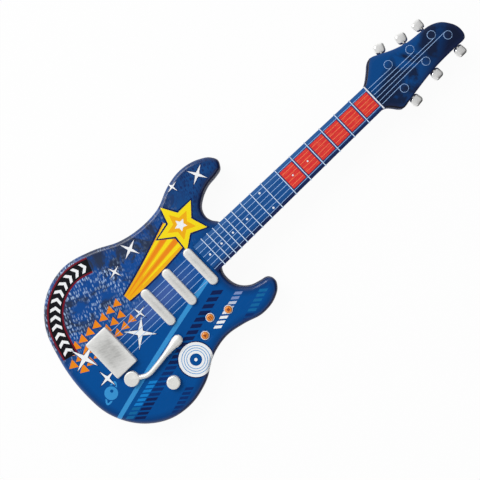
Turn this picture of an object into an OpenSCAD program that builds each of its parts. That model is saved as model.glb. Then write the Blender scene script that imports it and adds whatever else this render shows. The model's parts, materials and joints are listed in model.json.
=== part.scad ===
// Toy electric guitar with six fret buttons, three effect buttons and a whammy bar.
// Millimetres. X runs along the neck to the headstock, Y to the bass side, Z out of the front face.
// The origin is on the flat back, on the centre line of the neck, behind the middle pickup.

/* [Body] */
// Distance from the middle pickup to the tail
tail_reach = 171.5; // [166:0.5:185]
// Distance from the middle pickup to the tip of the bass horn
horn_reach = 138; // [132:0.5:150]
// Width across the lower bout
bout_w = 225; // [216:1:245]
// Thickness of the body
body_t = 40; // [38:0.5:46]
// Wall of the body shells
wall = 2.6; // [2:0.1:3]
// Radius of the rolled edges of the body
edge_r = 5; // [3:0.5:6]
// Height of the seam between the body shells
seam_z = 20; // [19:0.5:21]

/* [Neck] */
// Distance from the middle pickup to the nut
nut_x = 322.5; // [318:0.5:345]
// Width of the fingerboard where it ends on the body
neck_w = 41; // [39:0.5:44]
// Width of the fingerboard at the nut
nut_w = 34.6; // [33:0.2:37]
// Height of the fingerboard over the body
board_rise = 6; // [5:0.5:8]
// Depth of the rounded back of the neck
neck_depth = 14; // [12:0.5:16]
// Wall of the neck shells
neck_wall = 2.6; // [2.2:0.1:3]
// Width of a fret
fret_w = 1.4; // [1.2:0.1:2]
// Height of a fret over the fingerboard
fret_h = 1.2; // [0.8:0.1:1.6]

/* [Headstock] */
// Thickness of the headstock
head_t = 14; // [12:0.5:16]
// Radius of the rolled edges of the headstock
head_edge_r = 2; // [1:0.5:3]
// Width of a tuner button
peg_w = 14; // [12:0.5:15]
// Length of a tuner button
peg_l = 12; // [10:0.5:12.5]
// Thickness of a tuner button
peg_t = 6; // [5:0.5:8]
// Radius of a tuner shaft
peg_r = 2; // [1.6:0.1:2.4]

/* [Fret buttons] */
// Distance from one fret button to the next
key_pitch = 24.2; // [23.6:0.2:25]
// Gap from the middle of a fret to the button beside it
key_end = 1.9; // [1.7:0.1:2.4]
// Blue border on each side of the buttons
key_border = 6.1; // [5.6:0.1:7]
// Height of a fret button over the fingerboard
key_rise = 0.9; // [0.5:0.1:1.2]
// Clearance round a fret button
key_gap = 0.35; // [0.25:0.05:0.5]

/* [Pickups and bridge] */
// Distance between pickups
pickup_pitch = 35; // [33:0.5:37]
// Width of a pickup bar
pickup_w = 11.8; // [10:0.2:13]
// Length of a pickup bar
pickup_l = 55; // [50:1:58]
// Height of a pickup bar
pickup_h = 5; // [4:0.5:7]
// Length of the bridge along the strings
bridge_l = 32; // [28:0.5:34]
// Width of the bridge
bridge_w = 56; // [50:1:60]
// Height of the bridge
bridge_h = 8; // [6:0.5:10]

/* [Controls] */
// Radius of the volume knob
knob_r = 8.3; // [7.6:0.1:10]
// Height of the volume knob
knob_h = 7; // [6:0.5:10]
// Radius of the disc at the foot of the whammy bar
disc_r = 9.3; // [8:0.1:10.5]
// Radius of the whammy bar
arm_r = 3; // [2.4:0.1:3.4]
// Radius of an effect button
effect_r = 4.2; // [3.6:0.1:4.6]
// Height of an effect button over the body
effect_h = 3.4; // [2.8:0.2:4.4]
// Radius of the white rim round an effect button
bezel_r = 5.7; // [5.3:0.1:6.2]

/* [Inside] */
// Radius of a battery
cell_r = 7.25; // [6:0.05:7.3]
// Length of a battery
cell_l = 50.5; // [44:0.5:51]
// Radius of the loudspeaker
speaker_r = 28; // [24:0.5:30]
// Thickness of the circuit boards
pcb_t = 1.6; // [1:0.1:2]
// Radius of the bore for the audio plug
jack_r = 1.8; // [1.6:0.05:2]
// Radius of a screw shank
screw_r = 1.45; // [1.2:0.05:1.6]

/* [Clearances] */
// Clearance of parts that turn or slide in a bore
run_gap = 0.05; // [0.03:0.01:0.08]
// Clearance of parts that are only set in
seat_gap = 0.3; // [0.2:0.05:0.4]

/* [Hidden] */
$fn = 48;

// Heights that follow from the sizes above
front_z = body_t;
under_z = body_t - wall;
neck_seam = body_t - 4;
board_z = body_t + board_rise;
board_wall = 2;
heel_t = 12;
heel_z = neck_seam - heel_t;
head_z = neck_seam + head_t / 2;
head_back = neck_seam - head_t / 2;

// The fingerboard ends beside the neck pickup, and the neck runs on into the body as a tongue
neck_x0 = pickup_pitch + pickup_w / 2 + 4;
tongue_x = neck_x0 - 29;
tongue_w = 34;
heel_end = neck_x0 + 51;
heel_tuck = 0.1;
function neck_half(x) = (neck_w + (nut_w - neck_w) * (x - neck_x0) / (nut_x - neck_x0)) / 2;

// Smooth curve through points, as cubic pieces whose slopes come from the neighbouring points
function slope(a, b, c) =
    let (u = norm(b - a), v = norm(c - b), s = (b - a) * v / u + (c - b) * u / v) s / norm(s);
function cubic(a, b, sa, sb, t) =
    a * (2 * t * t * t - 3 * t * t + 1) + b * (3 * t * t - 2 * t * t * t)
    + sa * (t * t * t - 2 * t * t + t) + sb * (t * t * t - t * t);
function piece(o, a, b, c, t) =
    let (d = norm(b - a)) cubic(a, b, d * slope(o, a, b), d * slope(a, b, c), t);
function before(p) = 2 * p[0] - p[1];
function after(p) = 2 * p[len(p) - 1] - p[len(p) - 2];
function curve(p, n) =
    let (q = concat([before(p)], p, [after(p)]), last = len(p) - 1)
    concat([for (i = [1 : last]) for (k = [0 : n - 1]) piece(q[i - 1], q[i], q[i + 1], q[i + 2], k / n)],
        [p[last]]);
function loop(p, n) =
    let (m = len(p))
    [for (i = [0 : m - 1]) for (k = [0 : n - 1])
        piece(p[(i + m - 1) % m], p[i], p[(i + 1) % m], p[(i + 2) % m], k / n)];

// Outline moved inwards by d, for points that go round anticlockwise
function inset(p, d) =
    [for (i = [0 : len(p) - 1])
        let (n = len(p), a = p[i] - p[(i + n - 1) % n], b = p[(i + 1) % n] - p[i],
            t = a / norm(a) + b / norm(b)) p[i] + 2 * d * [-t.y, t.x] / (t * t)];

// Bar with round ends along Y, round the origin
function round_bar(w, l, n) =
    [for (q = [0, 1]) for (k = [0 : n]) let (a = 180 * q + 180 * k / n)
        [w / 2 * cos(a), w / 2 * sin(a) + (q == 0 ? 1 : -1) * (l - w) / 2]];

// Rectangle with rounded corners, round the origin
function round_rect(l, w, r, n) =
    [for (q = [0 : 3]) for (k = [0 : n])
        let (a = 90 * q + 90 * k / n, sx = q == 0 || q == 3 ? 1 : -1, sy = q < 2 ? 1 : -1)
        [sx * (l / 2 - r) + r * cos(a), sy * (w / 2 - r) + r * sin(a)]];
function shifted(p, v) = [for (q = p) q + v];

// Body outline, from the neck round the bass horn, the tail and the treble horn back to the neck
rear = tail_reach / 171.5;
fore = horn_reach / 138;
side = bout_w / 225;
body_y = -0.7;
body_points = [for (p = [
    [90, 13], [88, 21.5], [82.5, 29.5], [80.5, 38], [83.5, 48.5], [94, 57.5], [110, 64], [124, 65.6],
    [134, 68.6], [138, 76], [134.2, 84.5], [122, 93], [96, 99], [72, 95], [45, 84], [15, 82], [-15, 87.5],
    [-45, 101.5], [-86, 111.5], [-126, 99.5], [-152, 72], [-163, 42], [-171.5, -18], [-168, -52],
    [-144, -92], [-116, -109.5], [-87, -113.5], [-57, -106.5], [-25, -88.5], [0, -83.5], [26, -87.5],
    [50, -94], [74, -90.2], [84.5, -83.2], [88.5, -75], [85, -67.8], [75, -64.8], [62, -60.5],
    [51, -49.5], [47.5, -36], [48.5, -26], [54, -17.5], [67, -9], [81, -2]])
    [p.x * (p.x < 0 ? rear : fore), (p.y + body_y) * side]];
steps = 4;
body_curve = loop(body_points, steps);

// Headstock outline, round its treble corner, the tip and the bass corner
head_x = nut_x + 2.5;
head_points = [for (p = [
    [-11, -14], [-1.5, -17], [3, -18.9], [7.5, -23.6], [13.3, -30.6], [16, -32.5], [19.2, -32.7],
    [26, -31.3], [46, -27.8], [72, -24.2], [100, -23], [117, -23.2], [123.4, -23.3], [126.6, -22.4], [128.8, -19.9],
    [130.5, -12.6], [129.3, -4.4], [125.6, 2.8], [119, 10.8], [107.6, 16.8], [94.8, 18.9], [76, 20.6],
    [54, 27], [40, 33.4], [29.9, 37.8], [26.7, 38.2], [23.6, 36.8], [14.2, 28.9], [5, 21.7],
    [-1, 18.2], [-11, 14]])
    [head_x + p.x, p.y + body_y]];
head_curve = loop(head_points, 4);

// Frets, from the body to the first button, then one beside each button
key_x0 = nut_x - 6 * key_pitch;
upper_frets = [for (d = [118.9, 109.7, 100.3, 91.1, 81.3, 70.3, 56.2, 40.2, 22.6]) key_x0 - d];
key_frets = [for (i = [0 : 5]) key_x0 + i * key_pitch];
fret_x = concat(upper_frets, key_frets);
fret_over = 0.8;
nut_t = 1.2;
nut_lip = fret_w / 2;
nut_over = 0.4;

// Fret buttons are counted from the nut
key_l = key_pitch - 2 * key_end;
function key_mid(i) = nut_x - (i - 0.5) * key_pitch;
function key_points(i, long, wide) =
    let (m = key_mid(i), h = key_l / 2 + long, a = neck_half(m - h) - key_border + wide,
        b = neck_half(m + h) - key_border + wide)
    [[m - h, -a], [m + h, -b], [m + h, b], [m - h, a]];
key_flange = 0.9;
key_flange_t = 1.6;
key_flange_z = board_z - board_wall - 0.1 - key_flange_t;
key_travel = 1.5;
pad_t = 0.8;
pad_z = neck_seam + pcb_t + pad_t;

// Strings run parallel on the body and draw together along the neck
string_w = 0.6;
string_h = 0.3;
body_string_y = -2.6;
body_string_pitch = 7.2;
neck_string_pitch = 6.4;
nut_string_pitch = 4.95;
function string_y(k, x) =
    let (share = (x - neck_x0) / (nut_x - neck_x0))
    (2.5 - k) * (neck_string_pitch + (nut_string_pitch - neck_string_pitch) * share);

// Tuners: place of the string post from the start of the headstock, lean of the shaft, and reach to the middle of the button
tuners = [
    [[37.8, 16.8], 20, 23.4], [[69, 12], 13, 18.2], [[99.5, 7], -4, 20],
    [[113.8, -6.8], 0.5, 24.8], [[73.3, -11.3], 3, 20.9], [[32.5, -16.7], 7, 21.3]];
post_r = 4.6;
post_h = 0.8;
function post(i) = [head_x + tuners[i - 1][0].x, tuners[i - 1][0].y];

// Places on the front face
pickup_y = -2.5;
bridge_y = -3.2;
bridge_front = -96.2;
bridge_x = bridge_front - bridge_l / 2;
disc_x = -116.4;
disc_y = -42.7;
knob_x = -83.4;
knob_y = -80 * side;
effect_places = [for (p = [[-18, -65.7], [1, -54.3], [23.5, -62.4]]) [p.x, p.y * side]];
effect_travel = 1.2;

// Screw places, each set in from a point of the outline
screw_inset = 11;
function set_in(i) = inset(body_curve, screw_inset)[i * steps];
case_places = [for (i = [12, 15, 18, 21, 24, 27, 31]) set_in(i)];
neck_places = [for (x = [tongue_x + 4, neck_x0 - 2]) for (y = [-12, 12]) [x, y]];
well_r = 3.6;
well_z = 9;
head_r = 3.1;
head_h = 2.2;
boss_r = 5.2;

// Circuit board under the effect buttons
pcb_x = [-36, 40];
pcb_y = [-72.5 * side, -44 * side];
pcb_z = under_z - 7.4;
pcb_posts = [for (x = [pcb_x[0] + 3.5, pcb_x[1] - 3.5]) for (y = [pcb_y[0] + 3.5, pcb_y[1] - 3.5]) [x, y]];
effect_flange_z = under_z - 1.8;

// Battery bay in the back, with its door
cell_gap = 0.3;
spring_l = 4;
contact_t = 0.5;
bay_wall = 1.8;
bay_l = cell_l + spring_l + 2 * contact_t + cell_gap;
bay_w = 6 * cell_r + 4 * cell_gap;
bay_x = -44;
door_t = 1.6;
door_z = 0.2;
door_lip = 2;
bay_top = door_z + door_t + 2 * cell_r + 2 * cell_gap;
cell_z = door_z + door_t + cell_gap + cell_r;
ear_x = bay_x + bay_l / 2 + 6;
ear_r = 5;
ear_t = 3.6;

// Loudspeaker behind the grille
speaker_x = -112;
speaker_y = 22;
grille_r = speaker_r + 2;
grille_t = 1.2;

// Power switch
switch_x = -24;
switch_y = -35;
switch_travel = 4;
nub_l = 4;
nub_w = 3.4;

// Audio socket at the tail
jack_y = -18 * side;
jack_x = -tail_reach;
jack_z = 11;
jack_l = 17;

// Slab with outline p from z0 to z1 whose upper edge is rolled with radius r in n steps
module rolled_slab(p, z0, z1, r, n) {
    band = r + 0.6;
    profile = concat([[0, z0]], roll_up(z1, r, n), [[band, z1], [band, z0]]);
    m = len(profile);
    c = len(p);
    rings = [for (q = profile) inset(p, q[0])];
    polyhedron(
        points = [for (j = [0 : m - 1]) for (v = rings[j]) [v.x, v.y, profile[j][1]]],
        faces = [for (j = [0 : m - 1]) for (i = [0 : c - 1]) for (h = [0, 1])
            let (j2 = (j + 1) % m, i2 = (i + 1) % c)
            h == 0 ? [j * c + i, j2 * c + i, j2 * c + i2] : [j * c + i, j2 * c + i2, j * c + i2]],
        convexity = 8);
    translate([0, 0, z0])
        linear_extrude(z1 - z0)
            polygon(inset(p, r));
}

// Rising roll of radius r up to z in n steps, as [inset, height]
function roll_up(z, r, n) = [for (k = [0 : n]) let (a = 90 * k / n) [r - r * cos(a), z - r + r * sin(a)]];

// Solid with outline p, set in by profile as it rises, for an outline with no hollows
module ring_solid(p, profile) {
    m = len(profile);
    c = len(p);
    rings = [for (q = profile) inset(p, q[0])];
    polyhedron(
        points = [for (j = [0 : m - 1]) for (v = rings[j]) [v.x, v.y, profile[j][1]]],
        faces = concat(
            [for (j = [0 : m - 2]) for (i = [0 : c - 1]) for (h = [0, 1])
                let (j2 = j + 1, i2 = (i + 1) % c)
                h == 0 ? [j * c + i, j2 * c + i, j2 * c + i2] : [j * c + i, j2 * c + i2, j * c + i2]],
            [[for (i = [0 : c - 1]) i]],
            [[for (i = [0 : c - 1]) m * c - 1 - i]]));
}

// Block with a rolled upper edge, and one with both edges rolled
module rolled_block(p, z0, z1, r, n) {
    ring_solid(p, concat([[0, z0]], roll_up(z1, r, n)));
}
module pillow(p, t, r, n) {
    up = roll_up(t / 2, r, n);
    ring_solid(p, concat([for (k = [n : -1 : 0]) [up[k].x, -up[k].y]], up));
}

// Straight slab with outline p from z0 to z1
module slab(p, z0, z1) {
    translate([0, 0, z0])
        linear_extrude(z1 - z0)
            polygon(p);
}

// Block from corner a to corner b
module block(a, b) {
    translate(a)
        cube(b - a);
}

// Upright pin or bore at place c from z0 to z1
module post_at(c, r, z0, z1) {
    translate([c.x, c.y, z0])
        cylinder(r = r, h = z1 - z0);
}

// Rod along a path, with half width w[i] and half height h[i] at each point of the path
module rod(path, w, h, sides) {
    last = len(path) - 1;
    function along(i) = path[min(last, i + 1)] - path[max(0, i - 1)];
    function across(i) = let (s = cross(along(i), [0.02, 0.01, 1])) s / norm(s);
    function over(i) = let (s = cross(across(i), along(i))) s / norm(s);
    polyhedron(
        points = [for (i = [0 : last]) for (k = [0 : sides - 1])
            let (a = 360 * k / sides) path[i] + across(i) * w[i] * cos(a) + over(i) * h[i] * sin(a)],
        faces = concat(
            [for (i = [0 : last - 1]) for (k = [0 : sides - 1]) for (f = [0, 1])
                let (n = (k + 1) % sides, a = i * sides, b = a + sides)
                f == 0 ? [a + k, b + n, b + k] : [a + k, a + n, b + n]],
            [[for (k = [0 : sides - 1]) sides - 1 - k]],
            [[for (k = [0 : sides - 1]) last * sides + k]]));
}

// Round lead of radius r along a smooth path
module lead(points, r) {
    path = curve(points, 4);
    size = [for (q = path) r];
    rod(path, size, size, 8);
}

// Screw with its head down, head seat at height z
module screw(c, z, length) {
    difference() {
        union() {
            post_at(c, head_r, z - head_h, z);
            post_at(c, screw_r, z - 0.1, z + length);
        }
        for (a = [0, 90])
            translate([c.x, c.y, z - head_h])
                rotate(a)
                    cube([3.4, 0.8, 2], center = true);
    }
}

// Shape of the neck where it lies in the body, widened by g
module neck_room(g) {
    slab([[neck_x0 - g, -neck_half(neck_x0) - g], [heel_end + 8, -neck_half(heel_end + 8) - g],
        [heel_end + 8, neck_half(heel_end + 8) + g], [neck_x0 - g, neck_half(neck_x0) + g]],
        heel_z - g, board_z + 5);
}

module body_front() {
    color("royalblue")
    difference() {
        union() {
            difference() {
                rolled_slab(body_curve, seam_z, front_z, edge_r, 4);
                slab(inset(body_curve, wall), seam_z - 1, under_z);
            }
            for (c = case_places)
                post_at(c, boss_r - 1, seam_z, under_z + 0.5);
            for (c = pcb_posts)
                post_at(c, 3, pcb_z, under_z + 0.5);
            post_at([disc_x, disc_y], 6, under_z - 8.4, under_z + 0.5);
        }
        neck_room(seat_gap);
        for (c = case_places)
            post_at(c, screw_r + run_gap, seam_z - 1, under_z - 3);
        for (c = pcb_posts)
            post_at(c, screw_r + run_gap, pcb_z - 1, under_z - 1);
        post_at([disc_x, disc_y], 3 + run_gap, under_z - 9, front_z + 1);
        post_at([knob_x, knob_y], 3.6, under_z - 1, front_z + 1);
        for (c = effect_places)
            post_at(c, bezel_r - 0.6, under_z - 1, front_z + 1);
        for (x = [-1, 0, 1])
            for (y = [-1, 1])
                post_at(pickup_peg(x, y), 2 + run_gap, under_z - 1, front_z + 1);
        for (x = [-1, 1])
            for (y = [-1, 1])
                post_at(bridge_peg(x, y), 2 + run_gap, under_z - 1, front_z + 1);
    }
}

function pickup_peg(x, y) = [x * pickup_pitch, pickup_y + y * (pickup_l / 2 - 6)];
function bridge_peg(x, y) = [bridge_x + x * (bridge_l / 2 - 6), bridge_y + y * (bridge_w / 2 - 8)];

module body_back() {
    color("mediumblue")
    difference() {
        union() {
            difference() {
                mirror([0, 0, 1])
                    rolled_slab(body_curve, -seam_z, 0, edge_r, 4);
                slab(inset(body_curve, wall), wall, seam_z + 1);
            }
            for (c = case_places)
                post_at(c, boss_r, wall - 0.5, seam_z);
            for (c = neck_places)
                post_at(c, boss_r, wall - 0.5, heel_z);
            block([bay_x - bay_l / 2 - bay_wall, -bay_w / 2 - bay_wall, wall - 0.5],
                [bay_x + bay_l / 2 + bay_wall, bay_w / 2 + bay_wall, bay_top + bay_wall]);
            post_at([ear_x, 0], ear_r + 1.8, wall - 0.5, 13);
            for (s = [-1, 1])
                block([switch_x + s * 9 - 1, switch_y - 4.5, wall - 0.5],
                    [switch_x + s * 9 + 1, switch_y + 4.5, wall + 1.2]);
        }
        for (c = concat(case_places, neck_places)) {
            post_at(c, well_r, -1, well_z);
            post_at(c, screw_r + seat_gap, 0, heel_z + 1);
        }
        block([bay_x - bay_l / 2, -bay_w / 2, -1], [bay_x + bay_l / 2, bay_w / 2, bay_top]);
        block([bay_x - bay_l / 2 - door_lip - seat_gap, -bay_w / 2 - door_lip - seat_gap, -1],
            [bay_x + bay_l / 2 + door_lip + seat_gap, bay_w / 2 + door_lip + seat_gap, door_z + door_t]);
        post_at([ear_x, 0], ear_r + seat_gap, -1, door_z + ear_t);
        post_at([ear_x, 0], screw_r + run_gap, 0, 12);
        post_at([speaker_x, speaker_y], grille_r + run_gap, -1, wall + 1);
        block([switch_x - nub_l / 2 - switch_travel / 2 - seat_gap, switch_y - nub_w / 2 - seat_gap, -1],
            [switch_x + nub_l / 2 + switch_travel / 2 + seat_gap, switch_y + nub_w / 2 + seat_gap, wall + 1]);
        translate([jack_x - 5, jack_y, jack_z])
            rotate([0, 90, 0])
                cylinder(r = 3.9 + seat_gap, h = 12);
    }
}

// Half round neck between stations of x, narrowed by g all round
neck_stations = [
    [heel_end - 4, heel_t], [heel_end + 36, neck_depth], [nut_x - 35, neck_depth], [nut_x + 26, 5.5]];
function depth_at(x) = lookup(x, neck_stations);
function neck_section(x, g) =
    [for (k = [0 : 12]) let (a = 180 + 15 * k)
        [x, (neck_half(x) - g) * cos(a), neck_seam + (depth_at(x) - g) * sin(a)]];
module neck_round(xs, g) {
    last = len(xs) - 1;
    polyhedron(
        points = [for (x = xs) each neck_section(x, g)],
        faces = concat(
            [for (i = [0 : last - 1]) for (k = [0 : 12]) for (f = [0, 1])
                let (n = (k + 1) % 13, a = i * 13, b = a + 13)
                f == 0 ? [a + k, b + n, a + n] : [a + k, b + k, b + n]],
            [[for (k = [0 : 12]) k]],
            [[for (k = [0 : 12]) last * 13 + 12 - k]]));
}

// Room for one tuner, with its collar, round the axis of its shaft
module tuner_place(i) {
    translate([post(i).x, post(i).y, neck_seam])
        rotate((i < 4 ? 90 - tuners[i - 1][1] : tuners[i - 1][1] - 90))
            rotate([0, 90, 0])
                children();
}
collar_r = peg_r + 1.5;
peg_roll = 0.4 * peg_t;
function collar_at(i) = tuners[i - 1][2] - peg_l / 2 - 8;
module tuner_room(i) {
    tuner_place(i) {
        translate([0, 0, 2.8])
            cylinder(r = peg_r + run_gap, h = tuners[i - 1][2]);
        translate([0, 0, collar_at(i) - 0.2])
            cylinder(r = collar_r + 0.3, h = 2.4);
    }
}

module neck_front() {
    color("royalblue")
    difference() {
        union() {
            slab([[neck_x0, -neck_half(neck_x0)], [nut_x, -neck_half(nut_x)], [nut_x, neck_half(nut_x)],
                [neck_x0, neck_half(neck_x0)]], neck_seam, board_z);
            rolled_slab(head_curve, neck_seam, head_z, head_edge_r, 3);
            for (i = [1 : 6])
                post_at(post(i), post_r, head_z - 0.5, head_z + post_h);
        }
        slab([[neck_x0 + 3, neck_wall - neck_half(neck_x0)], [nut_x - 1.2, neck_wall - neck_half(nut_x)],
            [nut_x - 1.2, neck_half(nut_x) - neck_wall], [neck_x0 + 3, neck_half(neck_x0) - neck_wall]],
            neck_seam - 1, board_z - board_wall);
        for (i = [1 : 6])
            slab(key_points(i, key_gap, key_gap), board_z - board_wall - 1, board_z + 1);
        for (i = [1 : 6])
            tuner_room(i);
    }
}

module neck_back() {
    color("mediumblue")
    difference() {
        union() {
            slab([[neck_x0, -neck_half(neck_x0)], [heel_end, heel_tuck - neck_half(heel_end)],
                [heel_end, neck_half(heel_end) - heel_tuck], [neck_x0, neck_half(neck_x0)]], heel_z, neck_seam);
            block([tongue_x, -tongue_w / 2, heel_z], [neck_x0 + 1, tongue_w / 2, neck_seam]);
            neck_round([for (s = neck_stations) s[0]], 0);
            translate([0, 0, 2 * neck_seam])
                mirror([0, 0, 1])
                    rolled_slab(head_curve, neck_seam, head_z, head_edge_r, 3);
        }
        neck_round([heel_end + 6, heel_end + 36, key_x0 - 5], neck_wall);
        neck_round([key_x0 + 5, key_x0 + 2.5 * key_pitch], neck_wall);
        neck_round([key_x0 + 2.7 * key_pitch, nut_x - 35, nut_x - 10], neck_wall);
        for (c = neck_places)
            post_at(c, screw_r + run_gap, heel_z - 1, neck_seam - 2);
        post_at([neck_x0 + 5, 0], 4.5, heel_z - 1, neck_seam + 1);
        for (i = [1 : 6])
            tuner_room(i);
    }
}

// Profile of a fret, rounded over the top
function fret_profile(w, h) =
    concat([[-w / 2, 0]], [for (k = [0 : 6]) let (a = 180 - 30 * k) [w / 2 * cos(a), h / 2 + h / 2 * sin(a)]],
        [[w / 2, 0]]);
module fret(x, half, z0, h) {
    translate([x, half, z0])
        rotate([90, 0, 0])
            linear_extrude(2 * half)
                polygon(fret_profile(fret_w, h));
}

module frets() {
    color("white")
    for (x = fret_x)
        fret(x, neck_half(x) + fret_over, board_z, fret_h);
}

module nut() {
    color("white")
    for (step = [[0, head_z], [-nut_lip, board_z]])
        block([nut_x + step[0], -neck_half(nut_x) - nut_over, step[1]],
            [nut_x + nut_t, neck_half(nut_x) + nut_over, board_z + fret_h]);
}

module position_dots() {
    color("white") {
        for (d = [-123.9, -105.1, -86.4, -63.2])
            post_at([key_x0 + d, 0], 1.8, board_z, board_z + 0.25);
        for (y = [-12, 12])
            post_at([key_x0 - 31.2, y], 1.8, board_z, board_z + 0.25);
    }
}

// Straight length of string from a to b
module string_length(a, b, z0) {
    d = [a.y - b.y, b.x - a.x] / norm(b - a) * string_w / 2;
    slab([a - d, b - d, b + d, a + d], z0, z0 + string_h);
}

module strings() {
    color("lightsteelblue") {
        stops = [bridge_x + bridge_l / 2, -pickup_pitch, 0, pickup_pitch];
        for (k = [0 : 5]) {
            y = body_string_y + (2.5 - k) * body_string_pitch;
            for (i = [0 : 2])
                string_length([stops[i] + (i == 0 ? 0.3 : pickup_w / 2 + 0.3), y],
                    [stops[i + 1] - pickup_w / 2 - 0.3, y], front_z);
            ends = concat([neck_x0 - fret_w / 2], fret_x, [nut_x - nut_lip + fret_w / 2]);
            for (i = [0 : len(ends) - 2])
                if (i < len(upper_frets) + 1 || k == 0 || k == 5) {
                    a = ends[i] + fret_w / 2 + 0.2;
                    b = ends[i + 1] - fret_w / 2 - 0.2;
                    string_length([a, string_y(k, a)], [b, string_y(k, b)], board_z);
                }
            c = post(k + 1);
            rim = post_r + 0.1;
            foot = [c.x, c.y + (k < 3 ? -1 : 1) * (rim + 0.75 * string_w)];
            string_length([nut_x + nut_t + 0.3, string_y(k, nut_x)], foot, head_z);
            difference() {
                post_at(c, rim + string_w, head_z, head_z + string_h);
                post_at(c, rim, head_z - 1, head_z + 1);
            }
        }
    }
}

// Fret button with its flange under the fingerboard and four raised strings across it
module fret_button(i) {
    top = board_z + key_rise;
    ring = key_points(i, 0, 0);
    color("red") {
        rolled_block(rounded(ring, 1.6), key_flange_z + 0.5, top, 0.8, 2);
        slab(key_points(i, 0, key_gap + key_flange), key_flange_z, key_flange_z + key_flange_t);
        for (k = [1 : 4])
            string_length([ring[0].x + 0.9, string_y(k, ring[0].x)], [ring[1].x - 0.9, string_y(k, ring[1].x)],
                top - 0.05);
        if (i > 4)
            post_at([key_mid(i), 0], 1.8, top - 0.1, top + 0.25);
    }
}

// Four-sided outline with its corners rounded
function rounded(p, r) =
    [for (i = [0 : 3])
        let (a = p[(i + 3) % 4] - p[i], b = p[(i + 1) % 4] - p[i], u = a / norm(a), v = b / norm(b))
        each [p[i] + r * u, p[i] + 0.3 * r * (u + v), p[i] + r * v]];

module fret_button_1() { fret_button(1); }
module fret_button_2() { fret_button(2); }
module fret_button_3() { fret_button(3); }
module fret_button_4() { fret_button(4); }
module fret_button_5() { fret_button(5); }
module fret_button_6() { fret_button(6); }

module fret_pad() {
    color("gainsboro") {
        block([key_x0 + 7, -10.5, neck_seam + pcb_t], [nut_x - 6, 10.5, pad_z]);
        for (i = [1 : 6])
            translate([key_mid(i), 0, pad_z - 0.1])
                cylinder(r1 = 5.5, r2 = 4, h = key_flange_z - pad_z + 0.1);
    }
}

module neck_board() {
    color("darkgreen")
    block([key_x0 - 3, -11.5, neck_seam], [nut_x - 5, 11.5, neck_seam + pcb_t]);
}

// Pickup bar with two pegs through the front
module pickup(n) {
    color("silver") {
        bar = round_bar(pickup_w, pickup_l, 12);
        rolled_block(shifted(bar, [n * pickup_pitch, pickup_y]), front_z, front_z + pickup_h, 2, 3);
        for (y = [-1, 1])
            post_at(pickup_peg(n, y), 2, under_z - 1.2, front_z + 1);
    }
}
module pickup_neck() { pickup(1); }
module pickup_middle() { pickup(0); }
module pickup_bridge() { pickup(-1); }

module bridge() {
    color("silver") {
        rolled_block(shifted(round_rect(bridge_l, bridge_w, 2.4, 4), [bridge_x, bridge_y]),
            front_z, front_z + bridge_h, 1.4, 3);
        for (x = [-1, 1])
            for (y = [-1, 1])
                post_at(bridge_peg(x, y), 2, under_z - 1.2, front_z + 1);
    }
}

// Whammy bar: round foot on a pivot, bent arm and flat paddle
arm_points = [[0, 0, 0], [9, -5.6, 0], [15, -9, 0.2], [20.5, -10, 0.4], [26, -9.6, 0.7], [36, -8.4, 1.2],
    [48, -6.6, 1.5], [60, -5, 1.6], [68, -4.2, 1.6], [73.5, -3.7, 1.6], [76.6, -3.5, 1.6], [77.6, -3.4, 1.6]];
arm_swell = [1, 1, 1, 1, 1, 1.02, 1.08, 1.5, 2.05, 2, 1.3, 0.5];
arm_flat = [0.9, 0.9, 0.9, 0.9, 0.9, 0.9, 0.9, 0.9, 0.85, 0.75, 0.5, 0.2];
module whammy_bar() {
    foot_z = front_z + 0.4;
    foot_h = 6;
    color("gainsboro") {
        translate([disc_x, disc_y, foot_z])
            rotate_extrude()
                difference() {
                    union() {
                        square([disc_r - 1.5, foot_h]);
                        square([disc_r, foot_h - 1.5]);
                        translate([disc_r - 1.5, foot_h - 1.5])
                            circle(r = 1.5);
                    }
                    translate([-2, -1])
                        square([2, foot_h + 2]);
                }
        difference() {
            post_at([disc_x, disc_y], 3, under_z - 8.6, foot_z + 1);
            post_at([disc_x, disc_y], 1.2 + run_gap, under_z - 9, under_z - 1);
        }
        rod([for (q = arm_points) q + [disc_x, disc_y, foot_z + 3.4]],
            arm_swell * arm_r, arm_flat * arm_r, 12);
    }
}

module whammy_screw() {
    color("silver") {
        post_at([disc_x, disc_y], 5.4, under_z - 9.8, under_z - 8.6);
        post_at([disc_x, disc_y], 2.8, under_z - 11.4, under_z - 9.7);
        post_at([disc_x, disc_y], 1.2, under_z - 8.7, under_z - 2);
    }
}

// Volume knob with its shaft, in one piece, and the pot that the shaft turns in
shaft_r = 2.9;
module volume_knob() {
    foot = front_z + 0.4;
    color("gainsboro")
    translate([knob_x, knob_y, 0])
        union() {
            difference() {
                translate([0, 0, foot])
                    rotate_extrude()
                        difference() {
                            union() {
                                square([knob_r - 2, knob_h]);
                                square([knob_r, knob_h - 2]);
                                translate([knob_r - 2, knob_h - 2])
                                    circle(r = 2);
                            }
                            translate([-3, -1])
                                square([3, knob_h + 2]);
                        }
                translate([0, 0, foot - 1])
                    cylinder(r = 6.6, h = 3.4);
            }
            translate([0, 0, under_z - 6.5])
                cylinder(r = shaft_r, h = foot + 3 - under_z + 6.5);
        }
}

module volume_pot() {
    color("dimgray")
    difference() {
        union() {
            post_at([knob_x, knob_y], 8, under_z - 8.5, under_z);
            post_at([knob_x, knob_y], 3.4, under_z - 1, front_z + 1.7);
        }
        post_at([knob_x, knob_y], shaft_r + run_gap, under_z - 7, front_z + 3);
    }
}

module pot_nut() {
    color("silver")
    difference() {
        translate([knob_x, knob_y, front_z])
            cylinder(r = 6, h = 1.4, $fn = 6);
        post_at([knob_x, knob_y], 3.4 + run_gap, front_z - 1, front_z + 3);
    }
}

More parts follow.
